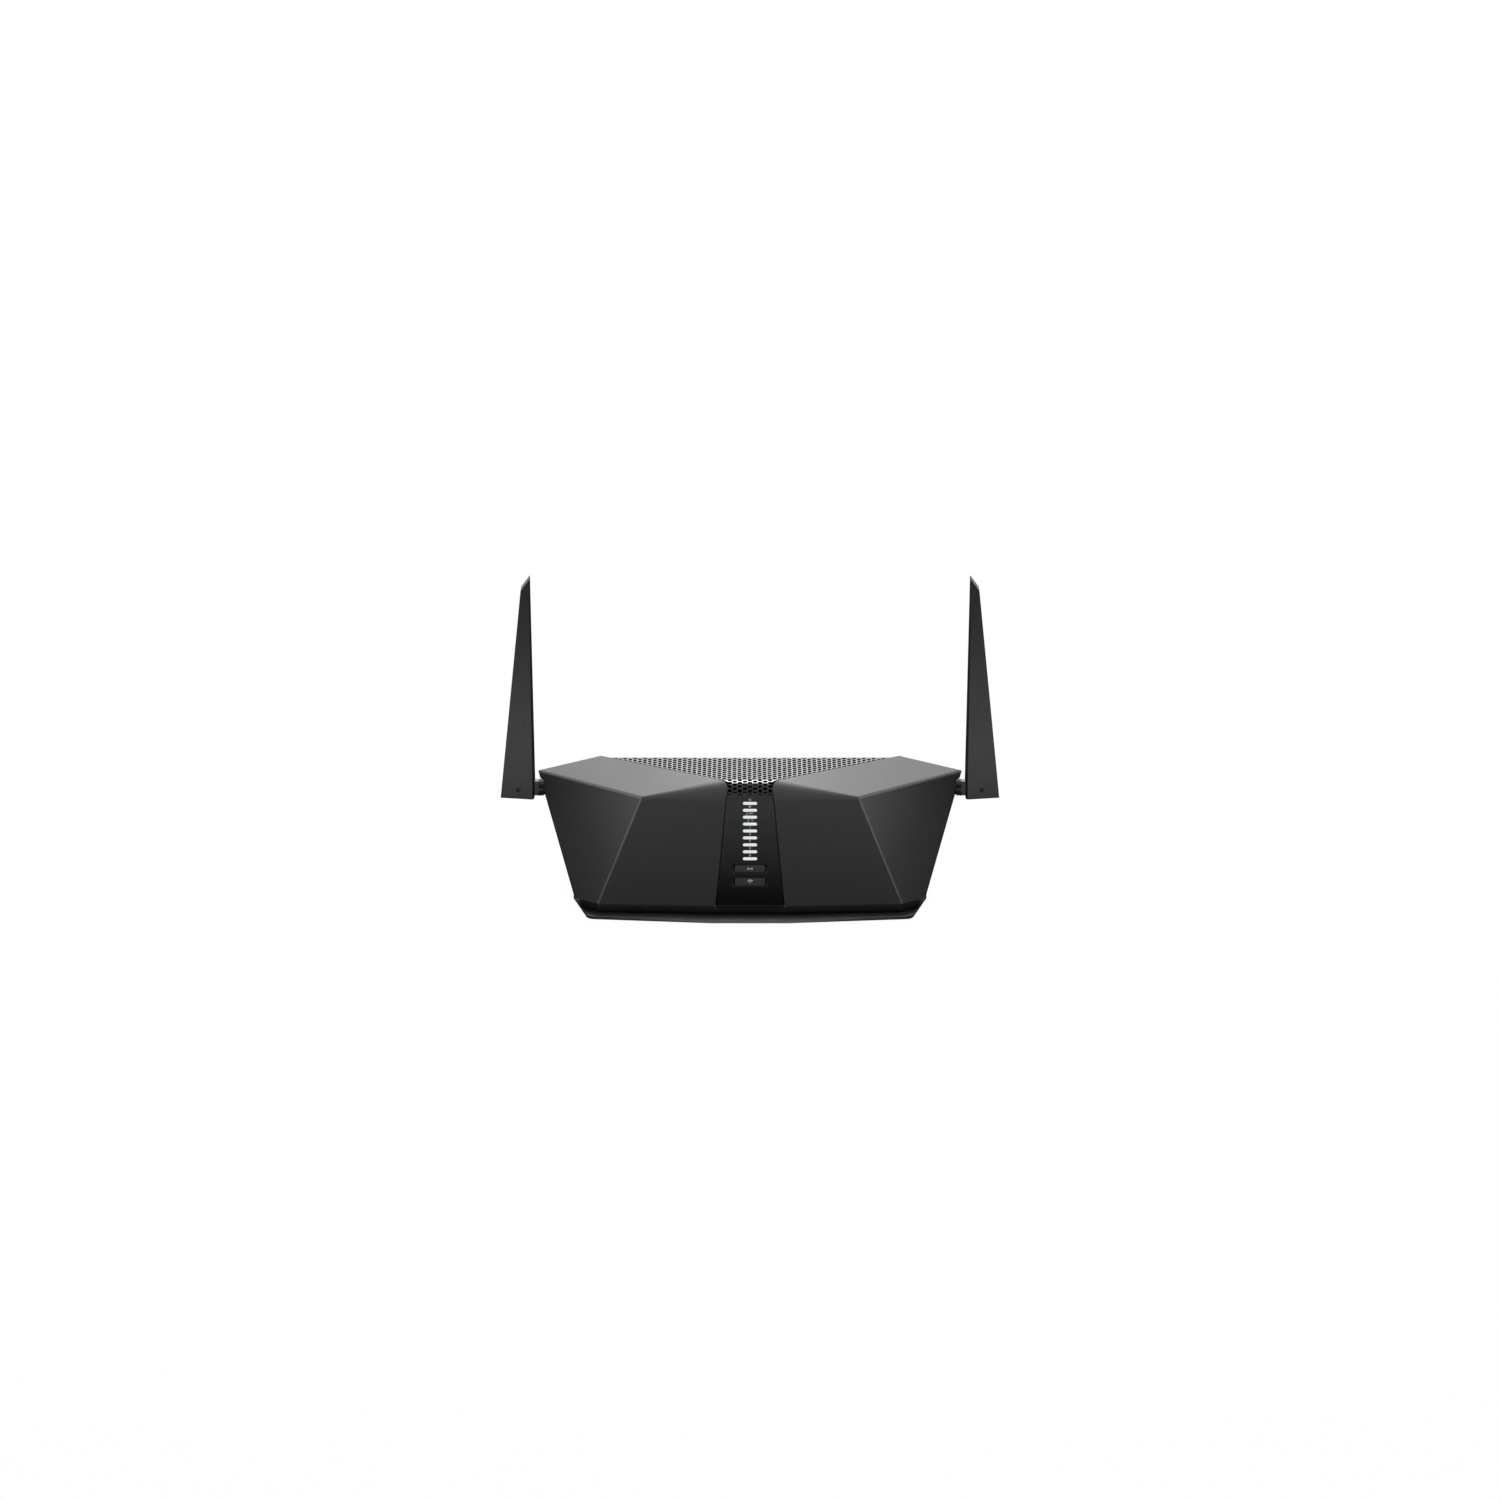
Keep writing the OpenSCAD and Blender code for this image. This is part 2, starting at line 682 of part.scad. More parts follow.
module usb_port() {
    color([0.72, 0.73, 0.75])
    translate([usb_x - usb_w / 2, socket_front - 14, board_top]) {
        difference() {
            cube([usb_w, 14, usb_h]);
            translate([0.4, 4, 0.4]) cube([usb_w - 0.8, 11, usb_h - 0.8]);
        }
        translate([1.1, 3.5, 2.9]) cube([usb_w - 2.2, 9.5, 1.9]);
    }
}

module power_inlet() {
    color([0.07, 0.07, 0.07]) {
        difference() {
            translate([inlet_x - inlet_w / 2, socket_front - 14, board_top])
                cube([inlet_w, 14, inlet_h]);
            translate([inlet_x, socket_front + 1, inlet_z]) rotate([90, 0, 0]) cylinder(d = inlet_d, h = 11);
        }
        translate([inlet_x, socket_front - 1, inlet_z]) rotate([90, 0, 0]) cylinder(d = 2.1, h = 9.5);
    }
}

power_travel = 2;
reset_travel = 0.6;
cap_back_y = back_y - 6.5;
stem_w = 3.8;
reset_y = back_y - 5;
reset_stem_w = 2;

// A switch body, open at the back to take a button's stem: w wide, d deep and h high
module switch_body(x, front, w, d, h, stem, travel) {
    hole = stem + 0.8;
    translate([x - w / 2, front - d, board_top]) difference() {
        cube([w, d, h]);
        translate([(w - hole) / 2, d - 2.5 - travel, button_z - board_top - hole / 2])
            cube([hole, 3.5 + travel, hole]);
    }
}

module power_switch() {
    color([0.2, 0.2, 0.2])
        switch_body(power_x, cap_back_y - power_travel - 0.6, 8.6, 9, 11, stem_w, power_travel);
}

module power_button() {
    color([0.12, 0.12, 0.125])
    translate([power_x, 0, button_z]) rotate([-90, 0, 0]) {
        translate([0, 0, cap_back_y]) cylinder(d = cap_d, h = 9);
        translate([0, 0, plate_face - plate_t - 1.6]) cylinder(d = cap_d + 2, h = 1.2);
        translate([-stem_w / 2, -stem_w / 2, cap_back_y - power_travel - 2])
            cube([stem_w, stem_w, power_travel + 3]);
    }
}

module reset_switch() {
    color([0.3, 0.3, 0.3])
        switch_body(reset_x, reset_y - reset_travel - 0.4, 6, 6, 9, reset_stem_w, reset_travel);
}

module reset_button() {
    color([0.8, 0.8, 0.8])
    translate([reset_x, 0, button_z]) rotate([-90, 0, 0]) {
        translate([-reset_stem_w / 2, -reset_stem_w / 2, reset_y - reset_travel - 2])
            cube([reset_stem_w, reset_stem_w, reset_travel + 3]);
        translate([0, 0, reset_y]) cylinder(d = 3.4, h = 1.6);
    }
}

// ---- Underside ----

module rating_plate() {
    color([0.75, 0.75, 0.73])
    translate([-plate_w / 2, -plate_h / 2, foot_h + 0.1]) cube([plate_w, plate_h, 0.3]);
}

module rubber_feet() {
    color([0.12, 0.12, 0.12])
    both_sides() for (p = foot_xy) translate([p[0], p[1], 0]) cylinder(d = foot_d, h = foot_h + 0.5);
}

module case_screws() {
    color([0.5, 0.5, 0.52])
    both_sides() for (p = boss_xy)
        translate([p[0], p[1], foot_h - 0.9]) screw(5.6, 1.55, boss_bore - 0.04, 11);
}

// ---- Antennas (right side; the left is its mirror image) ----

blade_z0 = 39.2;
blade_in_x = 120.1;
blade_foot_rise = 1.15;
shoulder = [126, tip_z - 6.9];
tip = [121, tip_z];
bevel = 1.4;
cheek_gap = 0.2;
tongue_t = 4;
slot_t = tongue_t + 2 * cheek_gap;
slot_r = stub_d / 2 + 0.4;
tongue_x = 117.5;
skin = 1.5;

blade_outline = [[blade_in_x + 0.8, blade_z0], [blade_in_x + blade_w, blade_z0 + blade_foot_rise],
    shoulder, tip, [blade_in_x, blade_z0 + 0.8]];
blade_room = [[blade_in_x + skin + 0.6, 53], [blade_in_x + blade_w - skin - 1.6, 53],
    shoulder + [-skin - 0.1, -skin], tip + [skin + 0.3, -8]];

// Extrudes an [x, z] outline in Y between two depths
module along_y(y0, y1) {
    translate([0, y1, 0]) rotate([90, 0, 0]) linear_extrude(y1 - y0) children();
}

module blade_half(front) {
    y0 = front ? swivel_y - blade_t / 2 - 1 : swivel_y;
    difference() {
        intersection() {
            blade_body();
            translate([100, y0, 30]) cube([60, blade_t / 2 + 1, 160]);
        }
        along_y(swivel_y - blade_t / 2 + skin, swivel_y + blade_t / 2 - skin) polygon(blade_room);
        // Passage for the lead, from the fork up into the blade
        along_y(swivel_y - 1, swivel_y + 1) translate([pivot_x, swivel_z + 2]) square([2, 10]);
        // Fork for the swivel tongue, open to the inner side and to the foot
        along_y(swivel_y - slot_t / 2, swivel_y + slot_t / 2) {
            translate([pivot_x, swivel_z]) circle(r = slot_r);
            translate([pivot_x - 30, 20]) square([30, swivel_z - 20 + slot_r]);
            translate([pivot_x - 30, 20]) square([30 + slot_r, swivel_z - 20]);
        }
        translate([pivot_x, swivel_y + 10, swivel_z]) rotate([90, 0, 0]) cylinder(d = pin_d + 0.02, h = 20);
    }
}

// Plan section of the blade: its inner edge is bevelled front and back
module blade_body() {
    half = blade_t / 2;
    intersection() {
        along_y(swivel_y - half, swivel_y + half) polygon(blade_outline);
        translate([0, 0, 30]) linear_extrude(BIG) polygon([
            [blade_in_x, swivel_y - half * 0.3], [blade_in_x + bevel, swivel_y - half],
            [blade_in_x + 30, swivel_y - half], [blade_in_x + 30, swivel_y + half],
            [blade_in_x + bevel, swivel_y + half], [blade_in_x, swivel_y + half * 0.3]]);
    }
}

module blade_front() {
    color([0.15, 0.15, 0.155]) blade_half(true);
}

module blade_back() {
    color([0.15, 0.15, 0.155]) blade_half(false);
}

strip_x = blade_in_x + 4;
strip_t = 0.8;
lead_d = 1.4;

module radiator() {
    color([0.05, 0.3, 0.15])
    along_y(swivel_y - strip_t / 2, swivel_y + strip_t / 2)
        polygon([[strip_x, 56], [strip_x + 9, 56], [strip_x + 3.5, 118], [strip_x, 118]]);
    color([0.85, 0.85, 0.86])
    translate([strip_x + 4, swivel_y - strip_t / 2 - lead_d / 2 + 0.05, 54]) cylinder(d = lead_d, h = 14);
}

module hinge_pin() {
    color([0.3, 0.3, 0.31])
    translate([pivot_x, swivel_y + blade_t / 2 - 0.5, swivel_z]) rotate([90, 0, 0])
        cylinder(d = pin_d, h = blade_t - 1);
}

module swivel() {
    r = stub_d / 2;
    color([0.1, 0.1, 0.105])
    difference() {
        union() {
            swivel_axis(100) cylinder(r = r, h = tongue_x - 100);
            swivel_axis(tongue_x - 0.1) cylinder(d = collar_d, h = collar_t);
            swivel_axis(tongue_x - 1.9) cylinder(d = collar_d, h = collar_t);
            along_y(swivel_y - tongue_t / 2, swivel_y + tongue_t / 2) {
                translate([pivot_x, swivel_z]) circle(r = r);
                translate([tongue_x - 1, swivel_z - r]) square([pivot_x - tongue_x + 1, 2 * r]);
            }
        }
        translate([pivot_x, swivel_y + 10, swivel_z]) rotate([90, 0, 0])
            cylinder(d = pin_d + 2 * run_gap, h = 20);
        swivel_axis(99) cylinder(d = 4, h = 14);
        swivel_axis(101) difference() {
            cylinder(r = r + 1, h = 1.1);
            translate([0, 0, -1]) cylinder(r = r - 0.8, h = 4);
        }
    }
}

module swivel_clip() {
    color([0.55, 0.55, 0.57])
    swivel_axis(101.1) difference() {
        cylinder(d = stub_d + 4, h = 0.9);
        translate([0, 0, -1]) cylinder(r = stub_d / 2 - 0.7, h = 3);
        translate([0, -stub_d / 4, -1]) cube([stub_d, stub_d / 2, 3]);
    }
}

// Coaxial lead from the main board to the mouth of the swivel's bore
module coax() {
    foot = [79, swivel_y, board_top];
    bend = foot + [0, 0, 13];
    turn = [90, swivel_y, swivel_z];
    color([0.12, 0.12, 0.12]) {
        translate(foot) cylinder(d = 2.6, h = 1.4);
        link(foot, bend);
        link(bend, turn);
        link(turn, turn + [12, 0, 0]);
    }
}

// A straight length of lead from a to b, run on a little past b to close the bend there
module link(a, b) {
    v = b - a;
    translate(a) rotate([0, acos(v[2] / norm(v)), atan2(v[1], v[0])])
        cylinder(d = lead_d, h = norm(v) + lead_d * 0.3);
}

bottom_tray();
vent_band();
top_cover();
vent_grille();
front_panel();
light_guide();
panel_board();
panel_leds();
panel_switches();
wps_button();
wifi_button();
main_board();
main_chips();
shield_cans();
thermal_pads();
heatsink();
heatsink_screws();
board_screws();
panel_ribbon();
rear_plate();
lan_jack_1();
lan_jack_2();
lan_jack_3();
lan_jack_4();
wan_jack();
usb_port();
power_inlet();
power_switch();
power_button();
reset_switch();
reset_button();
rating_plate();
rubber_feet();
case_screws();
mirror([1, 0, 0]) coax();  // coax_left
coax();  // coax_right
mirror([1, 0, 0]) swivel();  // swivel_left
swivel();  // swivel_right
mirror([1, 0, 0]) swivel_clip();  // swivel_clip_left
swivel_clip();  // swivel_clip_right
mirror([1, 0, 0]) blade_front();  // blade_front_left
blade_front();  // blade_front_right
mirror([1, 0, 0]) blade_back();  // blade_back_left
blade_back();  // blade_back_right
mirror([1, 0, 0]) radiator();  // radiator_left
radiator();  // radiator_right
mirror([1, 0, 0]) hinge_pin();  // hinge_pin_left
hinge_pin();  // hinge_pin_right
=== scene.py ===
"""Looks of the faceted wireless node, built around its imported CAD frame."""
import math

import bmesh
import bpy
from mathutils import Matrix, Vector


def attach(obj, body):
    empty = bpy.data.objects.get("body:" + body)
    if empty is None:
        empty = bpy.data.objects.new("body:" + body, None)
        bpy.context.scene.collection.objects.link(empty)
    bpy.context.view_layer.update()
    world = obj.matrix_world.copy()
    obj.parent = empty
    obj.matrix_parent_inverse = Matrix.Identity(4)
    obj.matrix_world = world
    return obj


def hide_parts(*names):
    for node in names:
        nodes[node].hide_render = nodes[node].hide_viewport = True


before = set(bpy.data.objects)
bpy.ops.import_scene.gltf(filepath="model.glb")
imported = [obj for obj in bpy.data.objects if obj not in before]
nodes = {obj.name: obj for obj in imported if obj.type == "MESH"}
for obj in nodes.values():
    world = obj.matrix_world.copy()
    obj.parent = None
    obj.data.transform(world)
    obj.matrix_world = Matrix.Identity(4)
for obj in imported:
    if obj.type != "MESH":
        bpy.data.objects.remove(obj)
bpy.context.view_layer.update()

MM = 0.001
scene = bpy.context.scene

# ---------------------------------------------------------------- dimensions, in millimetres

FOOT_Y, COVER_Z, BODY_H = -49.3, 8.0, 58.0
SLOPE = math.radians(42)
SPINE_R = 19.0
SLOPE_LEN = (BODY_H - COVER_Z) / math.sin(SLOPE) - SPINE_R * math.tan(SLOPE / 2)
ARC_LEN = SPINE_R * SLOPE
RIDGE_Y = FOOT_Y + (BODY_H - COVER_Z) / math.tan(SLOPE)
NOSE_X, NOSE_Y = 17.15, RIDGE_Y + SPINE_R * math.tan(SLOPE / 2)
NOSE_R = 8.0
PANEL_FOOT_X, PANEL_TAPER = 18.9, 0.117
V_ANGLE = math.radians(30)
VENT_END_Y = 47.8
PANEL_T, PANEL_GAP = 1.8, 0.5
CELL_STEP, CELL_W, VENT_T = 3.22, 2.3, 1.8
ROW_STEP, COL_STEP = CELL_STEP / 2, CELL_STEP * math.sqrt(3)
CELL_R = CELL_W / math.sqrt(3)
BAR_FIRST, BAR_STEP, BARS, BAR_W, BAR_H = 28.82, 4.25, 9, 7.9, 1.9
BUTTON_U = (22.6, 14.7)
RECESS_W, RECESS_H, RECESS_D = 18.4, 5.0, 0.9
BUTTON_HOLE_W, BUTTON_HOLE_H = 17.0, 4.8
SMOOTH_ANGLE = 32


# ---------------------------------------------------------------- materials

NOISE_LOW, NOISE_HIGH = 0.3, 0.7
CLOUD = 55

class Nodes:
    """A material's node tree, with short ways to add to it."""

    def __init__(self, name):
        self.material = bpy.data.materials.new(name)
        self.material.use_nodes = True
        self.tree = self.material.node_tree
        self.bsdf = self.tree.nodes["Principled BSDF"]
        self.coords = self.add("ShaderNodeTexCoord").outputs["Object"]

    def add(self, kind, **settings):
        node = self.tree.nodes.new(kind)
        for key, value in settings.items():
            setattr(node, key, value)
        return node

    def link(self, out, socket):
        self.tree.links.new(out, socket)

    def noise(self, scale, detail=3.0, rough=0.5, stretch=None):
        node = self.add("ShaderNodeTexNoise")
        node.inputs["Scale"].default_value = scale
        node.inputs["Detail"].default_value = detail
        node.inputs["Roughness"].default_value = rough
        source = self.coords
        if stretch:
            mapping = self.add("ShaderNodeMapping")
            mapping.inputs["Scale"].default_value = stretch
            self.link(source, mapping.inputs["Vector"])
            source = mapping.outputs["Vector"]
        self.link(source, node.inputs["Vector"])
        return node.outputs["Fac"]

    def ramp(self, fac, low, high):
        node = self.add("ShaderNodeValToRGB")
        a, b = node.color_ramp.elements
        a.position, b.position = NOISE_LOW, NOISE_HIGH
        a.color, b.color = (*low, 1), (*high, 1)
        self.link(fac, node.inputs["Fac"])
        return node.outputs["Color"]

    def spread(self, fac, low, high):
        node = self.add("ShaderNodeMapRange")
        node.inputs["From Min"].default_value = NOISE_LOW
        node.inputs["From Max"].default_value = NOISE_HIGH
        node.inputs["To Min"].default_value = low
        node.inputs["To Max"].default_value = high
        self.link(fac, node.inputs["Value"])
        return node.outputs["Result"]

    def bump(self, fac, strength, distance, under=None):
        node = self.add("ShaderNodeBump")
        node.inputs["Strength"].default_value = strength
        node.inputs["Distance"].default_value = distance
        self.link(fac, node.inputs["Height"])
        if under:
            self.link(under, node.inputs["Normal"])
        return node.outputs["Normal"]


def tint(colour, factor):
    return tuple(min(1.0, c * factor) for c in colour)


def surface(name, colour, rough, vary=0.06, rough_vary=0.02, grain=4200, grain_depth=0.000008,
            grain_strength=0.15, metallic=0.0, specular=0.5, stretch=None):
    """Moulded plastic, rubber or metal: a fine grain, and slow changes of shade and gloss."""
    n = Nodes(name)
    slow = n.noise(CLOUD, 4.0)
    fine = n.noise(grain, 2.0, 0.6, stretch)
    n.link(n.ramp(slow, tint(colour, 1 - vary), tint(colour, 1 + vary)), n.bsdf.inputs["Base Color"])
    patch = n.noise(CLOUD * 3.1, 5.0, 0.6, stretch)
    n.link(n.spread(patch, rough - rough_vary, rough + rough_vary), n.bsdf.inputs["Roughness"])
    wide = n.bump(n.noise(grain / 9, 3.0), grain_strength * 0.5, grain_depth * 2)
    n.link(n.bump(fine, grain_strength, grain_depth, wide), n.bsdf.inputs["Normal"])
    n.bsdf.inputs["Metallic"].default_value = metallic
    n.bsdf.inputs["Specular IOR Level"].default_value = specular
    return n.material


def glowing(name, colour, strength):
    """A frosted light guide, its glow a little uneven from place to place."""
    n = Nodes(name)
    cells = n.noise(900, 2.0)
    n.link(n.ramp(cells, tint(colour, 0.26), tint(colour, 0.3)), n.bsdf.inputs["Base Color"])
    n.link(n.ramp(n.noise(160, 2.0), tint(colour, 0.93), colour), n.bsdf.inputs["Emission Color"])
    n.link(n.spread(cells, 0.3, 0.4), n.bsdf.inputs["Roughness"])
    n.bsdf.inputs["Emission Strength"].default_value = strength
    return n.material


def board(name):
    """Solder mask with tracks and pads."""
    n = Nodes(name)
    brick = n.add("ShaderNodeTexBrick")
    brick.inputs["Scale"].default_value = 210
    brick.inputs["Mortar Size"].default_value = 0.045
    brick.inputs["Color1"].default_value = (0.012, 0.085, 0.035, 1)
    brick.inputs["Color2"].default_value = (0.016, 0.11, 0.045, 1)
    brick.inputs["Mortar"].default_value = (0.03, 0.2, 0.085, 1)
    n.link(n.coords, brick.inputs["Vector"])
    n.link(brick.outputs["Color"], n.bsdf.inputs["Base Color"])
    n.link(n.spread(n.noise(600), 0.28, 0.4), n.bsdf.inputs["Roughness"])
    n.link(n.bump(brick.outputs["Fac"], 0.4, 0.00004), n.bsdf.inputs["Normal"])
    return n.material


def printed(name, colour):
    """A label: film with a faint weave."""
    n = Nodes(name)
    wave = n.add("ShaderNodeTexWave", bands_direction="Y")
    wave.inputs["Scale"].default_value = 300
    n.link(n.coords, wave.inputs["Vector"])
    n.link(n.ramp(wave.outputs["Fac"], tint(colour, 0.9), colour), n.bsdf.inputs["Base Color"])
    n.link(n.spread(n.noise(900), 0.4, 0.5), n.bsdf.inputs["Roughness"])
    n.link(n.bump(n.noise(2500), 0.2, 0.00002), n.bsdf.inputs["Normal"])
    return n.material


COVER = surface("cover_plastic", (0.021, 0.021, 0.0215), 0.286, vary=0.03, rough_vary=0.008, grain=2600,
                grain_depth=0.000004, grain_strength=0.03)
BLADE = surface("blade_plastic", (0.018, 0.018, 0.0185), 0.36, rough_vary=0.015, grain_depth=0.000006,
                grain_strength=0.08)
VENT = surface("vent_plastic", (0.03, 0.03, 0.0305), 0.2, rough_vary=0.02, grain_strength=0.1, specular=0.85)
GLOSS = surface("panel_gloss", (0.004, 0.004, 0.0042), 0.08, rough_vary=0.015, grain_strength=0.03,
                specular=0.45)
BAND = surface("band_plastic", (0.028, 0.028, 0.0285), 0.34, grain_strength=0.1)
TRAY = surface("tray_plastic", (0.034, 0.034, 0.0345), 0.32, grain_strength=0.1)
BUTTON = surface("button_plastic", (0.03, 0.03, 0.031), 0.34)
REAR = surface("rear_plastic", (0.018, 0.018, 0.0185), 0.45)
SWIVEL = surface("swivel_plastic", (0.018, 0.018, 0.0185), 0.36)
JACK = surface("jack_plastic", (0.015, 0.015, 0.0155), 0.3)
WAN = surface("wan_plastic", (0.62, 0.43, 0.02), 0.32)
SOCKET = surface("socket_plastic", (0.012, 0.012, 0.012), 0.3)
RUBBER = surface("foot_rubber", (0.02, 0.02, 0.02), 0.75, grain_strength=0.5)
LEAD = surface("lead_jacket", (0.02, 0.02, 0.02), 0.5)
CHIP = surface("chip_epoxy", (0.018, 0.018, 0.019), 0.55, grain_strength=0.5)
PAD = surface("thermal_pad", (0.35, 0.4, 0.5), 0.8, grain_strength=0.6)
STEEL = surface("zinc_steel", (0.55, 0.55, 0.57), 0.32, metallic=1.0, stretch=(1, 14, 1))
DARK_STEEL = surface("dark_steel", (0.22, 0.22, 0.23), 0.4, metallic=1.0)
OXIDE = surface("black_oxide", (0.004, 0.004, 0.0042), 0.5)
PLATED = surface("plated_shell", (0.68, 0.69, 0.71), 0.2, metallic=1.0, stretch=(1, 12, 1))
TIN = surface("tinned_sheet", (0.6, 0.61, 0.63), 0.3, metallic=1.0, stretch=(9, 1, 1))
ALUMINIUM = surface("extruded_aluminium", (0.6, 0.61, 0.63), 0.38, metallic=1.0, stretch=(1, 0.05, 1))
GOLD = surface("contact_gold", (0.85, 0.6, 0.22), 0.22, metallic=1.0)
SWITCH = surface("switch_plastic", (0.06, 0.06, 0.06), 0.45)
PLUNGER = surface("plunger_plastic", (0.55, 0.55, 0.55), 0.4)
RIBBON = surface("ribbon_film", (0.7, 0.69, 0.64), 0.4, stretch=(40, 1, 1))
LED = surface("led_package", (0.75, 0.7, 0.5), 0.35)
INK = surface("printed_ink", (0.7, 0.7, 0.705), 0.5)
BRIGHT_INK = surface("bright_ink", (0.8, 0.8, 0.8), 0.5)
GLOW = glowing("light_bar", (0.94, 0.95, 0.97), 0.72)
BOARD = board("solder_mask")
LABEL = printed("blank_label", (0.5, 0.5, 0.49))


# ---------------------------------------------------------------- mesh helpers


def new_piece(name, verts, faces, material, body, replaces=()):
    mesh = bpy.data.meshes.new(name)
    mesh.from_pydata([tuple(v) for v in verts], [], [tuple(f) for f in faces])
    return finish_piece(name, mesh, material, body, replaces)


def finish_piece(name, mesh, material, body, replaces=(), smooth=None):
    """An object of the mesh, riding on its body. Edges that turn by more than smooth degrees stay sharp."""
    mesh.materials.clear()
    mesh.materials.append(material)
    piece = bpy.data.objects.new(name, mesh)
    scene.collection.objects.link(piece)
    if smooth is not None:
        mesh.shade_smooth()
        mesh.set_sharp_from_angle(angle=math.radians(smooth))
        weigh = piece.modifiers.new("weigh", "WEIGHTED_NORMAL")
        weigh.keep_sharp = True
        weigh.weight = 90
    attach(piece, body)
    if replaces:
        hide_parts(*replaces)
    return piece


def welded(node):
    """A bmesh of a CAD node in metres, its flat faces joined into single ones."""
    bm = bmesh.new()
    bm.from_mesh(nodes[node].data)
    bmesh.ops.remove_doubles(bm, verts=bm.verts, dist=2e-6)
    bmesh.ops.dissolve_degenerate(bm, edges=bm.edges, dist=1e-6)
    bmesh.ops.dissolve_limit(bm, angle_limit=math.radians(0.6), verts=bm.verts, edges=bm.edges,
                             delimit={"NORMAL"})
    return bm


def bend_angle(edge):
    return edge.calc_face_angle(0.0) if len(edge.link_faces) == 2 else 0.0


def refine(node, material, body, width=0.25, segments=2, min_angle=30):
    """A CAD node with its edges rounded, as its own piece."""
    bm = welded(node)
    picked = [e for e in bm.edges if bend_angle(e) > math.radians(min_angle)]
    bmesh.ops.bevel(bm, geom=picked, offset=width * MM, offset_type="OFFSET", segments=segments, profile=0.5,
                    affect="EDGES", clamp_overlap=True, loop_slide=True)
    mesh = bpy.data.meshes.new(node + "_piece")
    bm.to_mesh(mesh)
    bm.free()
    return finish_piece(node + "_piece", mesh, material, body, [node], SMOOTH_ANGLE)


def material_of(node, material):
    data = nodes[node].data
    data.materials.clear()
    data.materials.append(material)


def slope_point(x, u, w):
    """A point beside the spine, and its slope: x across, u along it from its foot, w out of it.

    The arguments are in millimetres and the point is in metres."""
    if u <= SLOPE_LEN:
        a = SLOPE
        y, z = FOOT_Y + u * math.cos(a), COVER_Z + u * math.sin(a)
    elif u <= SLOPE_LEN + ARC_LEN:
        a = SLOPE - (u - SLOPE_LEN) / SPINE_R
        y, z = NOSE_Y - SPINE_R * math.sin(a), BODY_H - SPINE_R * (1 - math.cos(a))
    else:
        a = 0.0
        y, z = NOSE_Y + u - SLOPE_LEN - ARC_LEN, BODY_H
    return Vector((x, y - w * math.sin(a), z + w * math.cos(a))) * MM, a


# ---------------------------------------------------------------- spine outline


def side_half_width(y, gap):
    return PANEL_FOOT_X - PANEL_TAPER * (y - FOOT_Y) + gap * math.hypot(PANEL_TAPER, 1)


def v_half_width(y, gap):
    return NOSE_X + (y - NOSE_Y) / math.tan(V_ANGLE) + gap / math.sin(V_ANGLE)


def half_width(y, gap):
    """Half the width of the opening between the wings at y: a taper, a rounded corner, then the V."""
    k = 1 / math.tan(V_ANGLE)
    corner_y = (side_half_width(0, gap) - v_half_width(0, gap)) / (PANEL_TAPER + k)
    side = Vector((-PANEL_TAPER, 1)).normalized()
    v = Vector((math.cos(V_ANGLE), math.sin(V_ANGLE)))
    turn = math.acos(side.dot(v))
    r = NOSE_R + gap
    reach = r * math.tan(turn / 2)
    corner = Vector((side_half_width(corner_y, gap), corner_y))
    start, end = corner - reach * side, corner + reach * v
    if y <= start.y:
        return side_half_width(y, gap)
    if y >= end.y:
        return v_half_width(y, gap)
    centre = start + r * Vector((side.y, -side.x))
    return centre.x - math.sqrt(max(0.0, r * r - (y - centre.y) ** 2))


# ---------------------------------------------------------------- cover


WING_DROP, FRONT_DIR, TOP_DIR = math.radians(11), math.radians(-87), math.radians(-60)
BACK_Y, CORNER_C_X = 52.3, 59.6
CORNER_X, CORNER_Y, SIDE_FOOT_X = 119.1, 42.4, 96.0
FOOT_CORNER = Vector((82.65, -46, COVER_Z))
EDGE_R_PANEL, EDGE_R_CORNER = 30.0, 5.0
CORNER_B_X = NOSE_X + (BACK_Y - NOSE_Y) / math.tan(V_ANGLE)


def facing(direction, tilt):
    flat = math.sin(tilt)
    return Vector((flat * math.cos(direction), flat * math.sin(direction), math.cos(tilt)))


def meet(planes):
    """The point shared by three planes, each given as (normal, distance)."""
    m = Matrix([n for n, _ in planes])
    return m.inverted() @ Vector([d for _, d in planes])


def plane(normal, point):
    return normal.normalized(), normal.normalized().dot(point)


def rounding(a, b, r, count):
    """Planes that touch a cylinder of radius r laid into the edge between two planes."""
    along = a[0].cross(b[0]).normalized()
    centre = meet([(a[0], a[1] - r), (b[0], b[1] - r), (along, 0)])
    out = []
    for i in range(1, count + 1):
        n = a[0].slerp(b[0], i / (count + 1)).normalized()
        out.append((n, n.dot(centre) + r))
    return out


def ball(a, b, c, r, count):
    """Planes that touch a ball of radius r laid into the corner of three planes."""
    centre = meet([(p[0], p[1] - r) for p in (a, b, c)])
    out = []
    for i in range(count + 1):
        for j in range(count + 1 - i):
            n = (a[0] * i + b[0] * j + c[0] * (count - i - j)).normalized()
            if max(i, j, count - i - j) < count:
                out.append((n, n.dot(centre) + r))
    return out


def wing_edge(x, r, phi, phi_top, phi_front, top, front):
    """A point on the growing round between the wing's top and front: at x, turned by phi from upright."""
    ey, ez = meet([top, front, (Vector((1, 0, 0)), x)]).yz
    reach = r * math.tan((phi_front - phi_top) / 2)
    y = ey + reach * math.cos(phi_top) + r * math.sin(phi_top) - r * math.sin(phi)
    z = ez + reach * math.sin(phi_top) - r * math.cos(phi_top) + r * math.cos(phi)
    return Vector((x, y, z))


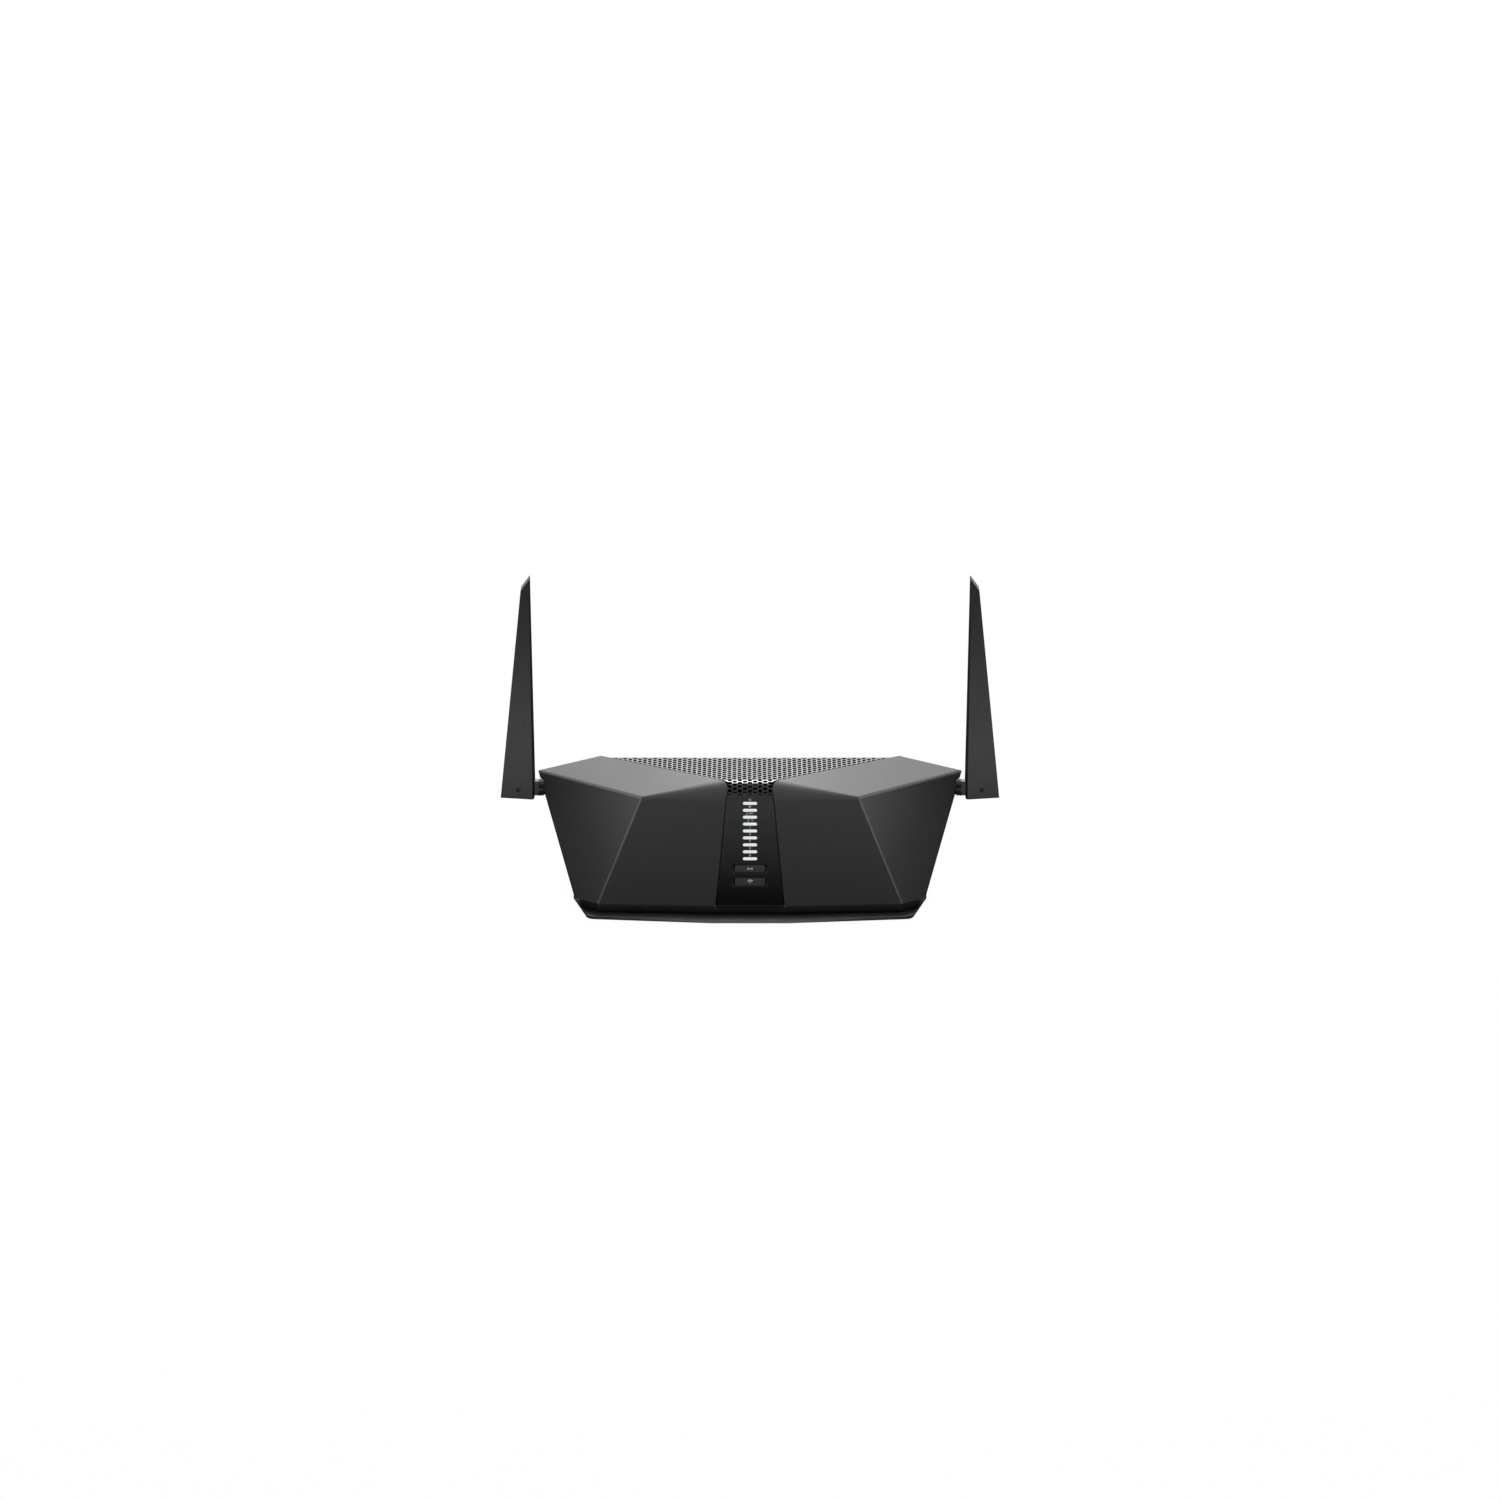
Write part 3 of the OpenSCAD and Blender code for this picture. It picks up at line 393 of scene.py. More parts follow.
def wing_planes():
    """All the planes that bound the right half of the cover, with its soft edges."""
    top = plane(facing(TOP_DIR, WING_DROP), Vector((NOSE_X, NOSE_Y, BODY_H)))
    front = plane(facing(FRONT_DIR, SLOPE), Vector((PANEL_FOOT_X, FOOT_Y, COVER_Z)))
    corner_c = meet([top, front, (Vector((1, 0, 0)), CORNER_C_X)])
    a_z = (top[1] - top[0].x * CORNER_X - top[0].y * CORNER_Y) / top[0].z
    corner_a = Vector((CORNER_X, CORNER_Y, a_z))
    side_front = plane((FOOT_CORNER - corner_c).cross(corner_a - corner_c), corner_c)
    lean = math.pi / 2 + math.atan((CORNER_X - SIDE_FOOT_X) / (a_z - COVER_Z))
    side = plane(facing(0, lean), corner_a)
    turn = math.atan2(CORNER_X - CORNER_B_X - 0.5, BACK_Y - CORNER_Y)
    shoulder = plane(facing(turn, math.pi / 2), corner_a)
    back = (Vector((0, 1, 0)), BACK_Y)
    flat = (Vector((0, 0, 1)), BODY_H)
    planes = [top, front, side_front, side, shoulder, back, flat]
    for a, b, r, count in ((top, side_front, 0.9, 4), (front, side_front, 0.4, 4), (side_front, side, 0.9, 5),
                           (top, shoulder, 0.7, 6), (side, shoulder, 1.2, 5), (shoulder, back, 1.5, 6)):
        planes += rounding(a, b, r, count)
    planes += ball(top, front, side_front, 6.0, 8)
    phi_top = math.atan(-math.tan(WING_DROP) * math.sin(TOP_DIR))
    phi_front = math.atan(-math.tan(SLOPE) * math.sin(FRONT_DIR))
    steps = 22
    for i in range(1, steps + 1):
        phi = phi_top + (phi_front - phi_top) * i / (steps + 1)
        p = wing_edge(PANEL_FOOT_X, EDGE_R_PANEL, phi, phi_top, phi_front, top, front)
        q = wing_edge(CORNER_C_X, EDGE_R_CORNER, phi, phi_top, phi_front, top, front)
        planes.append(plane((q - p).cross(Vector((0, math.cos(phi), math.sin(phi)))), p))
    return planes


def convex(planes, low, high):
    """The solid behind all the planes, within a box."""
    bm = bmesh.new()
    bmesh.ops.create_cube(bm, size=1)
    for v in bm.verts:
        v.co = Vector(high[k] if v.co[k] > 0 else low[k] for k in range(3))
    for n, d in planes:
        got = bmesh.ops.bisect_plane(bm, geom=bm.verts[:] + bm.edges[:] + bm.faces[:], dist=1e-4,
                                     plane_co=n * d, plane_no=n, clear_outer=True)
        rim = [e for e in got["geom_cut"] if isinstance(e, bmesh.types.BMEdge)]
        if rim:
            bmesh.ops.contextual_create(bm, geom=rim)
    bmesh.ops.recalc_face_normals(bm, faces=bm.faces)
    return bm


def object_of(bm, name):
    mesh = bpy.data.meshes.new(name)
    bm.to_mesh(mesh)
    bm.free()
    thing = bpy.data.objects.new(name, mesh)
    scene.collection.objects.link(thing)
    return thing


def boolean(thing, operation, tools):
    """The mesh left after the tools are taken from, or kept of, a closed object; all are then removed."""
    for tool in tools:
        m = thing.modifiers.new("cut", "BOOLEAN")
        m.operation, m.solver, m.object = operation, "EXACT", tool
    bpy.context.view_layer.update()
    bm = bmesh.new()
    bm.from_mesh(thing.evaluated_get(bpy.context.evaluated_depsgraph_get()).to_mesh())
    for old in [thing, *tools]:
        bpy.data.objects.remove(old)
    return bm


def build_cover():
    """The faceted cover: its facets' edges are soft, and its cut edges have a fine radius."""
    inside = 0.02
    planes = [(n, d - inside) for n, d in wing_planes()]
    right = convex(planes, (0, -70, -5), (140, 70, 70))
    bmesh.ops.delete(right, geom=[f for f in right.faces if all(abs(v.co.x) < 1e-4 for v in f.verts)],
                     context="FACES_ONLY")
    for v in right.verts:
        if abs(v.co.x) < 1e-3:
            v.co.x = 0.0
    both = bmesh.ops.duplicate(right, geom=right.verts[:] + right.edges[:] + right.faces[:])["geom"]
    turned = [f for f in both if isinstance(f, bmesh.types.BMFace)]
    for v in both:
        if isinstance(v, bmesh.types.BMVert):
            v.co.x = -v.co.x
    bmesh.ops.reverse_faces(right, faces=turned)
    bmesh.ops.remove_doubles(right, verts=right.verts, dist=1e-4)
    cover = bmesh.new()
    cover.from_mesh(nodes["top_cover"].data)
    bmesh.ops.scale(cover, verts=cover.verts, vec=(1 / MM,) * 3)
    bmesh.ops.remove_doubles(cover, verts=cover.verts, dist=1e-4)
    bmesh.ops.dissolve_limit(cover, angle_limit=math.radians(0.2), verts=cover.verts, edges=cover.edges,
                             delimit={"NORMAL"})
    bm = boolean(object_of(cover, "cover_raw"), "INTERSECT", [object_of(right, "wings")])
    bmesh.ops.remove_doubles(bm, verts=bm.verts, dist=2e-3)
    bmesh.ops.dissolve_limit(bm, angle_limit=math.radians(0.1), verts=bm.verts, edges=bm.edges,
                             delimit={"NORMAL"})

    def near_outside(p):
        q = Vector((abs(p.x), p.y, p.z))
        return max(n.dot(q) - d for n, d in planes) > -0.3

    cuts = [e for e in bm.edges if bend_angle(e) > math.radians(40) and e.is_convex
            and near_outside((e.verts[0].co + e.verts[1].co) / 2)]
    bmesh.ops.bevel(bm, geom=cuts, offset=0.25, offset_type="OFFSET", segments=3, profile=0.5, affect="EDGES",
                    clamp_overlap=True, loop_slide=True)
    bmesh.ops.scale(bm, verts=bm.verts, vec=(MM,) * 3)
    mesh = bpy.data.meshes.new("cover_shell")
    bm.to_mesh(mesh)
    bm.free()
    return finish_piece("cover_shell", mesh, COVER, "body", ["top_cover"], SMOOTH_ANGLE)


# ---------------------------------------------------------------- vent


def build_vent():
    """The flat vent: hexagonal cells with chamfered rims, cut along the V and the back edge."""
    top, low = BODY_H, BODY_H - VENT_T
    rim = 0.16
    rings = ((CELL_STEP / math.sqrt(3), top), (CELL_R + rim, top), (CELL_R, top - rim), (CELL_R, low),
             (CELL_STEP / math.sqrt(3), low))
    first = Vector((NOSE_X, NOSE_Y)) + 0.75 * CELL_STEP * Vector((math.cos(V_ANGLE), math.sin(V_ANGLE)))
    verts, faces = [], []
    for j in range(-3, 24):
        for k in range(-20, 41):
            x = first.x + j * COL_STEP / 2 - k * COL_STEP
            y = first.y + j * ROW_STEP
            if y > VENT_END_Y + 3 or abs(x) > v_half_width(y, 0) + 4:
                continue
            base = len(verts)
            for r, z in rings:
                verts += [(x + px, y + py, z) for px, py in hexagon(r)]
            for ring in range(4):
                for i in range(6):
                    n = (i + 1) % 6
                    a, b = base + ring * 6, base + ring * 6 + 6
                    faces.append((a + i, a + n, b + n, b + i))
    bm = bmesh.new()
    made = [bm.verts.new(v) for v in verts]
    for f in faces:
        bm.faces.new([made[i] for i in f])
    bmesh.ops.remove_doubles(bm, verts=bm.verts, dist=1e-3)

    def cut(point, normal, clear=True):
        geom = bm.verts[:] + bm.edges[:] + bm.faces[:]
        bmesh.ops.bisect_plane(bm, geom=geom, dist=1e-5, plane_co=point, plane_no=normal, clear_outer=clear)
        if clear:
            on_plane = [e for e in bm.edges if len(e.link_faces) == 1
                        and all(abs((v.co - point).dot(normal)) < 1e-3 for v in e.verts)]
            bmesh.ops.holes_fill(bm, edges=on_plane, sides=0)

    seam, lip, drop = 0.15, 0.4, 0.14
    for side in (1, -1):
        out = Vector((side * math.sin(V_ANGLE), -math.cos(V_ANGLE), 0))
        edge = Vector((side * NOSE_X, NOSE_Y, 0)) - out * seam
        cut(edge - out * lip, out, False)
        cut(edge, out)
    cut(Vector((0, VENT_END_Y - seam, 0)), Vector((0, 1, 0)))
    cut(Vector((0, NOSE_Y + 0.02, 0)), Vector((0, -1, 0)))
    for side in (1, -1):
        out = Vector((side * math.sin(V_ANGLE), -math.cos(V_ANGLE), 0))
        edge = Vector((side * NOSE_X, NOSE_Y, 0)) - out * seam
        for v in bm.verts:
            if abs((v.co - edge).dot(out)) < 1e-3 and v.co.z > top - 1e-3:
                v.co.z -= drop
    bmesh.ops.recalc_face_normals(bm, faces=bm.faces)
    bmesh.ops.scale(bm, verts=bm.verts, vec=(MM, MM, MM))
    mesh = bpy.data.meshes.new("vent_plate")
    bm.to_mesh(mesh)
    bm.free()
    return finish_piece("vent_plate", mesh, VENT, "body", ["vent_grille"], 10)


# ---------------------------------------------------------------- panel


def loft(layers):
    """A closed solid through same-length rings of (x, y, z) points, first ring lowest."""
    verts = [p for layer in layers for p in layer]
    n = len(layers[0])
    faces = [tuple(range(n))[::-1], tuple(range(n * (len(layers) - 1), n * len(layers)))]
    for k in range(len(layers) - 1):
        for i in range(n):
            m = (i + 1) % n
            faces.append((k * n + i, k * n + m, (k + 1) * n + m, (k + 1) * n + i))
    return verts, faces


def rounded_rect(w, h, r, steps=5):
    points = []
    for cx, cy, start in ((w / 2 - r, h / 2 - r, 0), (-w / 2 + r, h / 2 - r, 90),
                          (-w / 2 + r, -h / 2 + r, 180), (w / 2 - r, -h / 2 + r, 270)):
        for i in range(steps + 1):
            a = math.radians(start + 90 * i / steps)
            points.append((cx + r * math.cos(a), cy + r * math.sin(a)))
    return points


def hexagon(r):
    return [(r * math.cos(math.pi / 3 * i), r * math.sin(math.pi / 3 * i)) for i in range(6)]


def quarter(r, steps):
    """Points of a rounded edge of radius r, as (how far out, how far down) from its foot to the top."""
    angles = [math.radians(86 * i / steps) for i in range(steps + 1)]
    return [(r * (1 - math.cos(a)), r * (1 - math.sin(a))) for a in angles]


def flared(outline, x, u, low, r, steps=5):
    """A cutter with a rounded mouth: outline(grow) gives its ring, low its floor."""
    rings = [(low, 0.0)] + [(-down, out) for out, down in quarter(r, steps)]
    rings.append((0.4, rings[-1][1]))
    return [[(x + px, u + pu, w) for px, pu in outline(grow)] for w, grow in rings]


def build_panel():
    """The gloss spine panel: made flat, with its cells, slots and recesses cut in, then bent to the spine."""
    end = SLOPE_LEN + ARC_LEN
    steps = [0.0, 8, 20, 30, 40, 50, 60, SLOPE_LEN] + [SLOPE_LEN + ARC_LEN * i / 24 for i in range(1, 25)]

    def ring(inset, w, drop):
        right = []
        for u in steps:
            uu = min(max(u, drop), end - 0.02)
            y = slope_point(0, uu, 0)[0].y / MM
            right.append((half_width(y, -PANEL_GAP) - inset, uu, w))
        return right + [(-x, u, w) for x, u, w in right[::-1]]

    verts, faces = loft([ring(0, -PANEL_T, 0)] + [ring(out, -down, out) for out, down in quarter(0.45, 5)])
    cutters = []
    for i in range(BARS):
        u = BAR_FIRST + i * BAR_STEP
        cutters.append(flared(lambda g: rounded_rect(BAR_W + 2 * g, BAR_H + 2 * g, BAR_H / 2 + g - 0.01, 6),
                              0, u, -PANEL_T - 1, 0.1, 2))
    for u in BUTTON_U:
        cutters.append(flared(lambda g: rounded_rect(RECESS_W + 2 * g, RECESS_H + 2 * g, 1.1 + g), 0, u,
                              -RECESS_D, 0.5))
    holes = []
    for u in BUTTON_U:
        holes.append([[(px, u + pu, w) for px, pu in rounded_rect(BUTTON_HOLE_W, BUTTON_HOLE_H, 0.7)]
                      for w in (-PANEL_T - 1, 1.0)])
    for j in range(9):
        n = 5 - j % 2
        low = -PANEL_T - 1 if j < 7 else (-0.75 if j == 7 else -0.5)
        for k in range(n):
            cutters.append(flared(lambda g: hexagon(CELL_R + g * 1.15), (k - (n - 1) / 2) * COL_STEP,
                                  end - (j + 0.7) * ROW_STEP, low, 0.18, 3))

    def solid(name, parts):
        vs, fs = [], []
        for v, f in parts:
            fs += [tuple(i + len(vs) for i in face) for face in f]
            vs += v
        mesh = bpy.data.meshes.new(name)
        mesh.from_pydata(vs, [], fs)
        bm = bmesh.new()
        bm.from_mesh(mesh)
        bmesh.ops.recalc_face_normals(bm, faces=bm.faces)
        return object_of(bm, name)

    flat = solid("panel_flat", [(verts, faces)])
    tools = [solid("cut_a", [loft(c) for c in cutters]), solid("cut_b", [loft(h) for h in holes])]
    bm = boolean(flat, "DIFFERENCE", tools)
    bmesh.ops.remove_doubles(bm, verts=bm.verts, dist=1e-4)
    bmesh.ops.dissolve_limit(bm, angle_limit=math.radians(0.1), verts=bm.verts, edges=bm.edges,
                             delimit={"NORMAL"})
    slices = 28
    for i in range(slices + 1):
        u = SLOPE_LEN + ARC_LEN * i / slices
        bmesh.ops.bisect_plane(bm, geom=bm.verts[:] + bm.edges[:] + bm.faces[:], dist=1e-5,
                               plane_co=(0, u, 0), plane_no=(0, 1, 0))
    for v in bm.verts:
        v.co = slope_point(*v.co)[0]
    mesh = bpy.data.meshes.new("spine_panel")
    bm.to_mesh(mesh)
    bm.free()
    return finish_piece("spine_panel", mesh, GLOSS, "body", ["front_panel"], SMOOTH_ANGLE)


# ---------------------------------------------------------------- band


def hull(points):
    """Convex hull of 2D points, anticlockwise."""
    points = sorted(set(points))

    def half(ps):
        out = []
        for p in ps:
            while len(out) > 1 and ((out[-1][0] - out[-2][0]) * (p[1] - out[-2][1])
                                    - (out[-1][1] - out[-2][1]) * (p[0] - out[-2][0])) <= 1e-6:
                out.pop()
            out.append(p)
        return out[:-1]

    return half(points) + half(points[::-1])


def build_band():
    """The band below the cover, its wall knurled with small diamonds."""
    data = nodes["vent_band"].data
    top = max(v.co.z for v in data.vertices)
    low = min(v.co.z for v in data.vertices)
    outline = hull([(round(v.co.x / MM, 3), round(v.co.y / MM, 3))
                    for v in data.vertices if v.co.z > top - 1e-6])
    pitch, rows, depth, thick, inset = 0.8, 8, 0.32, 1.5, 0.3
    columns = []
    for (x0, y0), (x1, y1) in zip(outline, outline[1:] + outline[:1]):
        length = math.hypot(x1 - x0, y1 - y0)
        count = max(2, 2 * round(length / pitch / 2))
        normal = ((y1 - y0) / length, -(x1 - x0) / length)
        for i in range(count):
            t = i / count
            columns.append((x0 + (x1 - x0) * t, y0 + (y1 - y0) * t, normal, i == 0))
    verts, faces = [], []
    n = len(columns)
    for j in range(rows + 1):
        z = low / MM + (top - low) / MM * j / rows
        for i, (x, y, (nx, ny), corner) in enumerate(columns):
            d = inset + (0 if corner or j in (0, rows) else depth * ((i + j) % 2))
            verts.append((x - nx * d, y - ny * d, z))
    for i in range(n):
        for j in range(rows):
            a, b = j * n + i, j * n + (i + 1) % n
            c, d = (j + 1) * n + (i + 1) % n, (j + 1) * n + i
            if (i + j) % 2:
                faces += [(a, b, c), (a, c, d)]
            else:
                faces += [(a, b, d), (b, c, d)]
    inner = len(verts)
    for z in (low / MM, top / MM):
        for x, y, (nx, ny), corner in columns:
            length = math.hypot(x, y)
            verts.append((x - x / length * thick, y - y / length * thick * 1.2, z))
    for i in range(n):
        m = (i + 1) % n
        faces.append((i, inner + i, inner + m, m))
        faces.append((rows * n + i, rows * n + m, inner + n + m, inner + n + i))
        faces.append((inner + i, inner + n + i, inner + n + m, inner + m))
    verts = [Vector(v) * MM for v in verts]
    return new_piece("knurled_band", verts, faces, BAND, "body", ["vent_band"])


# ---------------------------------------------------------------- small marks

INK_GAP, INK_T = 0.005, 0.03
BAR_MARK, BAR_MARK_RISE = 1.25, 1.18

def stroke(points, width):
    """A flat ribbon along 2D points: a list of quads."""
    points = [Vector(p) for p in points]
    quads = []
    for p, q in zip(points, points[1:]):
        d = (q - p).normalized()
        side = Vector((-d.y, d.x)) * width / 2
        cap = d * width * 0.25
        quads.append((p - side - cap, q - side + cap, q + side + cap, p + side - cap))
    return quads


def circle(cx, cy, r, start=0, turn=360, steps=14):
    return [(cx + r * math.cos(math.radians(start + turn * i / steps)),
             cy + r * math.sin(math.radians(start + turn * i / steps))) for i in range(steps + 1)]


DIGITS = {
    "1": [[(-0.2, 0.3), (0.05, 0.5), (0.05, -0.5)]],
    "2": [[(-0.3, 0.25), (-0.15, 0.47), (0.15, 0.47), (0.3, 0.25), (0.25, 0.0), (-0.3, -0.5), (0.32, -0.5)]],
    "3": [[(-0.28, 0.35), (-0.1, 0.5), (0.2, 0.45), (0.28, 0.25), (0.05, 0.03), (0.3, -0.2), (0.2, -0.45),
           (-0.1, -0.5), (-0.3, -0.35)]],
    "4": [[(0.15, -0.5), (0.15, 0.5), (-0.32, -0.15), (0.34, -0.15)]],
    "5": [[(0.28, 0.5), (-0.22, 0.5), (-0.26, 0.05), (0.1, 0.1), (0.3, -0.12), (0.25, -0.4), (0.0, -0.5),
           (-0.3, -0.4)]],
    ".": [[(-0.02, -0.46), (0.02, -0.46)]],
}


def digits(text, size):
    """Strokes of a number, centred."""
    advance = {".": 0.5}
    widths = [advance.get(c, 0.85) for c in text]
    x = -sum(widths) / 2
    out = []
    for c, w in zip(text, widths):
        for line in DIGITS[c]:
            out.append([((px + x + w / 2) * size, py * size) for px, py in line])
        x += w
    return out


def mark(kind, size):
    """Strokes of a generic symbol, or of a number."""
    s = size
    if kind == "power":
        return [circle(0, 0, 0.45 * s, 120, 300), [(0, 0.05 * s), (0, 0.6 * s)]]
    if kind == "globe":
        return [circle(0, 0, 0.5 * s), [(0, -0.5 * s), (0, 0.5 * s)], [(-0.5 * s, 0), (0.5 * s, 0)]]
    if kind == "link":
        return [[(-0.45 * s, 0.42 * s), (-0.95 * s, 0), (-0.45 * s, -0.42 * s)],
                [(-0.3 * s, 0), (0.3 * s, 0)],
                [(0.45 * s, 0.42 * s), (0.95 * s, 0), (0.45 * s, -0.42 * s)]]
    if kind == "waves":
        return [circle(0, -0.5 * s, r * s, 40, 100, 8) for r in (0.4, 0.75, 1.1)] + [
            [(-0.05 * s, -0.5 * s), (0.05 * s, -0.5 * s)]]
    if kind == "plug":
        return [[(-0.35 * s, -0.5 * s), (0.35 * s, -0.5 * s), (0.35 * s, 0.2 * s), (-0.35 * s, 0.2 * s),
                 (-0.35 * s, -0.5 * s)], [(-0.15 * s, 0.2 * s), (-0.15 * s, 0.5 * s)],
                [(0.15 * s, 0.2 * s), (0.15 * s, 0.5 * s)]]
    return digits(kind, s)


def ink(name, strokes, width, place, material, body):
    """Printed strokes as thin closed ribbons; place(x, y, w) puts them on their surface."""
    low, high = INK_GAP, INK_GAP + INK_T
    verts, faces = [], []
    for line in strokes:
        for quad in stroke(line, width):
            base = len(verts)
            verts += [place(p.x, p.y, low) for p in quad] + [place(p.x, p.y, high) for p in quad]
            faces += [(base + 3, base + 2, base + 1, base), (base + 4, base + 5, base + 6, base + 7)]
            faces += [(base + i, base + (i + 1) % 4, base + 4 + (i + 1) % 4, base + 4 + i) for i in range(4)]
    return new_piece(name, verts, faces, material, body)


def moved(strokes, dx, dy):
    return [[(x + dx, y + dy) for x, y in line] for line in strokes]


def on_slope(u0, w0=0.0):
    return lambda x, y, w: slope_point(x, u0 + y, w0 + w)[0]


def build_marks():
    kinds = ["power", "globe", "2.4", "5", "1", "2", "3", "4", "plug"]
    lines = []
    for i, kind in enumerate(kinds):
        u = BAR_FIRST + (BARS - 1 - i) * BAR_STEP + BAR_H / 2 + BAR_MARK_RISE
        if kind in ("2.4", "5"):
            lines += moved(mark(kind, BAR_MARK), -0.9, u) + moved(mark("waves", 0.75), 1.2, u)
        else:
            lines += moved(mark(kind, BAR_MARK), 0, u)
    ink("panel_marks", lines, 0.26, on_slope(0), INK, "body")
    face = 0.1
    ink("wps_mark", mark("link", 1.5), 0.34, on_slope(BUTTON_U[0], face), BRIGHT_INK, "wps_button")
    ink("wifi_mark", moved(mark("waves", 1.7), 0, 0.2), 0.34, on_slope(BUTTON_U[1], face), BRIGHT_INK,
        "wifi_button")


# ---------------------------------------------------------------- sockets at the back

PLATE_Y = 51.8
MARK_Z, REAR_MARK = 30.6, 2.6
USB_X, POWER_X, INLET_X, RESET_X = 71.0, -47.0, -62.0, -74.0
CONTACT_PITCH, CONTACT_HALF_W, CONTACT_HALF_T = 1.02, 0.22, 0.12
CONTACT_PATH = [(40.2, 15.35), (42.5, 15.4), (48.6, 18.6), (49.2, 18.55), (49.3, 18.1)]
JACKS = {"wan_jack": -24.0, "lan_jack_1": 0.0, "lan_jack_2": 17.5, "lan_jack_3": 35.0, "lan_jack_4": 52.5}


def build_contacts(node, x0):
    """Eight sprung contacts that slope down into a jack's cavity."""
    verts, faces = [], []
    for i in range(8):
        x = x0 + (i - 3.5) * CONTACT_PITCH
        w, path = CONTACT_HALF_W, CONTACT_PATH
        base = len(verts)
        for k, (y, z) in enumerate(path):
            a = path[max(k - 1, 0)]
            b = path[min(k + 1, len(path) - 1)]
            d = Vector((b[0] - a[0], b[1] - a[1])).normalized()
            ny, nz = -d.y * CONTACT_HALF_T, d.x * CONTACT_HALF_T
            for sx, sn in ((-w, -1), (w, -1), (w, 1), (-w, 1)):
                verts.append(Vector((x + sx, y + ny * sn, z + nz * sn)) * MM)
        for k in range(len(path) - 1):
            for s in range(4):
                t = (s + 1) % 4
                a = base + k * 4
                faces.append((a + s, a + t, a + 4 + t, a + 4 + s))
        faces.append((base + 3, base + 2, base + 1, base))
        e = base + 4 * (len(path) - 1)
        faces.append((e, e + 1, e + 2, e + 3))
    new_piece(node + "_contacts", verts, faces, GOLD, "body")


def build_rear():
    refine("rear_plate", REAR, "body", 0.3)
    for node, x in JACKS.items():
        material, slot = (WAN, "wan") if node == "wan_jack" else (JACK, "jack")
        refine(node, material, "body")
        build_contacts(node, x)
    refine("usb_port", PLATED, "body", 0.12)
    refine("power_inlet", SOCKET, "body", 0.3)
    refine("power_button", BUTTON, "power_button", 0.45, 3)
    refine("reset_button", PLUNGER, "reset_button", 0.15)

    def plate(x, y, w):
        return Vector((-x, PLATE_Y + w, y)) * MM

    lines = []
    for i, node in enumerate(("lan_jack_1", "lan_jack_2", "lan_jack_3", "lan_jack_4")):
        lines += moved(mark(str(i + 1), REAR_MARK), -JACKS[node], MARK_Z)
    for kind, x in (("globe", JACKS["wan_jack"]), ("power", POWER_X), ("plug", USB_X)):
        lines += moved(mark(kind, REAR_MARK), -x, MARK_Z)
    cross = [[(-0.7, 0), (0.7, 0)], [(0, -0.7), (0, 0.7)]]
    turned = [circle(0, 0, 0.9, 60, 300), [(0.45, 0.78), (0.1, 1.1)], [(0.45, 0.78), (0.1, 0.4)]]
    lines += moved(cross, -INLET_X, MARK_Z) + moved(turned, -RESET_X, MARK_Z)
    ink("rear_marks", lines, 0.32, plate, INK, "body")


# ---------------------------------------------------------------- the rest of the nodes


def build_nodes():
    for side in ("left", "right"):
        for half in ("front", "back"):
            refine(f"blade_{half}_{side}", BLADE, f"blade_{side}", 0.45, 3, min_angle=12)
        refine(f"swivel_{side}", SWIVEL, f"swivel_{side}", 0.2)
        refine(f"hinge_pin_{side}", OXIDE, f"blade_{side}", 0.15)
        material_of(f"swivel_clip_{side}", DARK_STEEL)
        material_of(f"radiator_{side}", BOARD)
        material_of(f"coax_{side}", LEAD)
    refine("wps_button", BUTTON, "wps_button", 0.35, 3)
    refine("wifi_button", BUTTON, "wifi_button", 0.35, 3)
    refine("bottom_tray", TRAY, "body", 0.35, 3)
    refine("rubber_feet", RUBBER, "body", 0.35, 3)
    refine("case_screws", STEEL, "body", 0.15)
    for node, material in (("light_guide", GLOW), ("panel_board", BOARD), ("panel_leds", LED),
                           ("panel_switches", TIN), ("main_board", BOARD), ("main_chips", CHIP),
                           ("shield_cans", TIN), ("thermal_pads", PAD), ("heatsink", ALUMINIUM),
                           ("heatsink_screws", STEEL), ("board_screws", STEEL), ("panel_ribbon", RIBBON),
                           ("power_switch", SWITCH), ("reset_switch", SWITCH), ("rating_plate", LABEL)):
        material_of(node, material)


build_cover()
build_vent()
build_panel()
build_band()
build_marks()
build_rear()
build_nodes()


# ---------------------------------------------------------------- studio


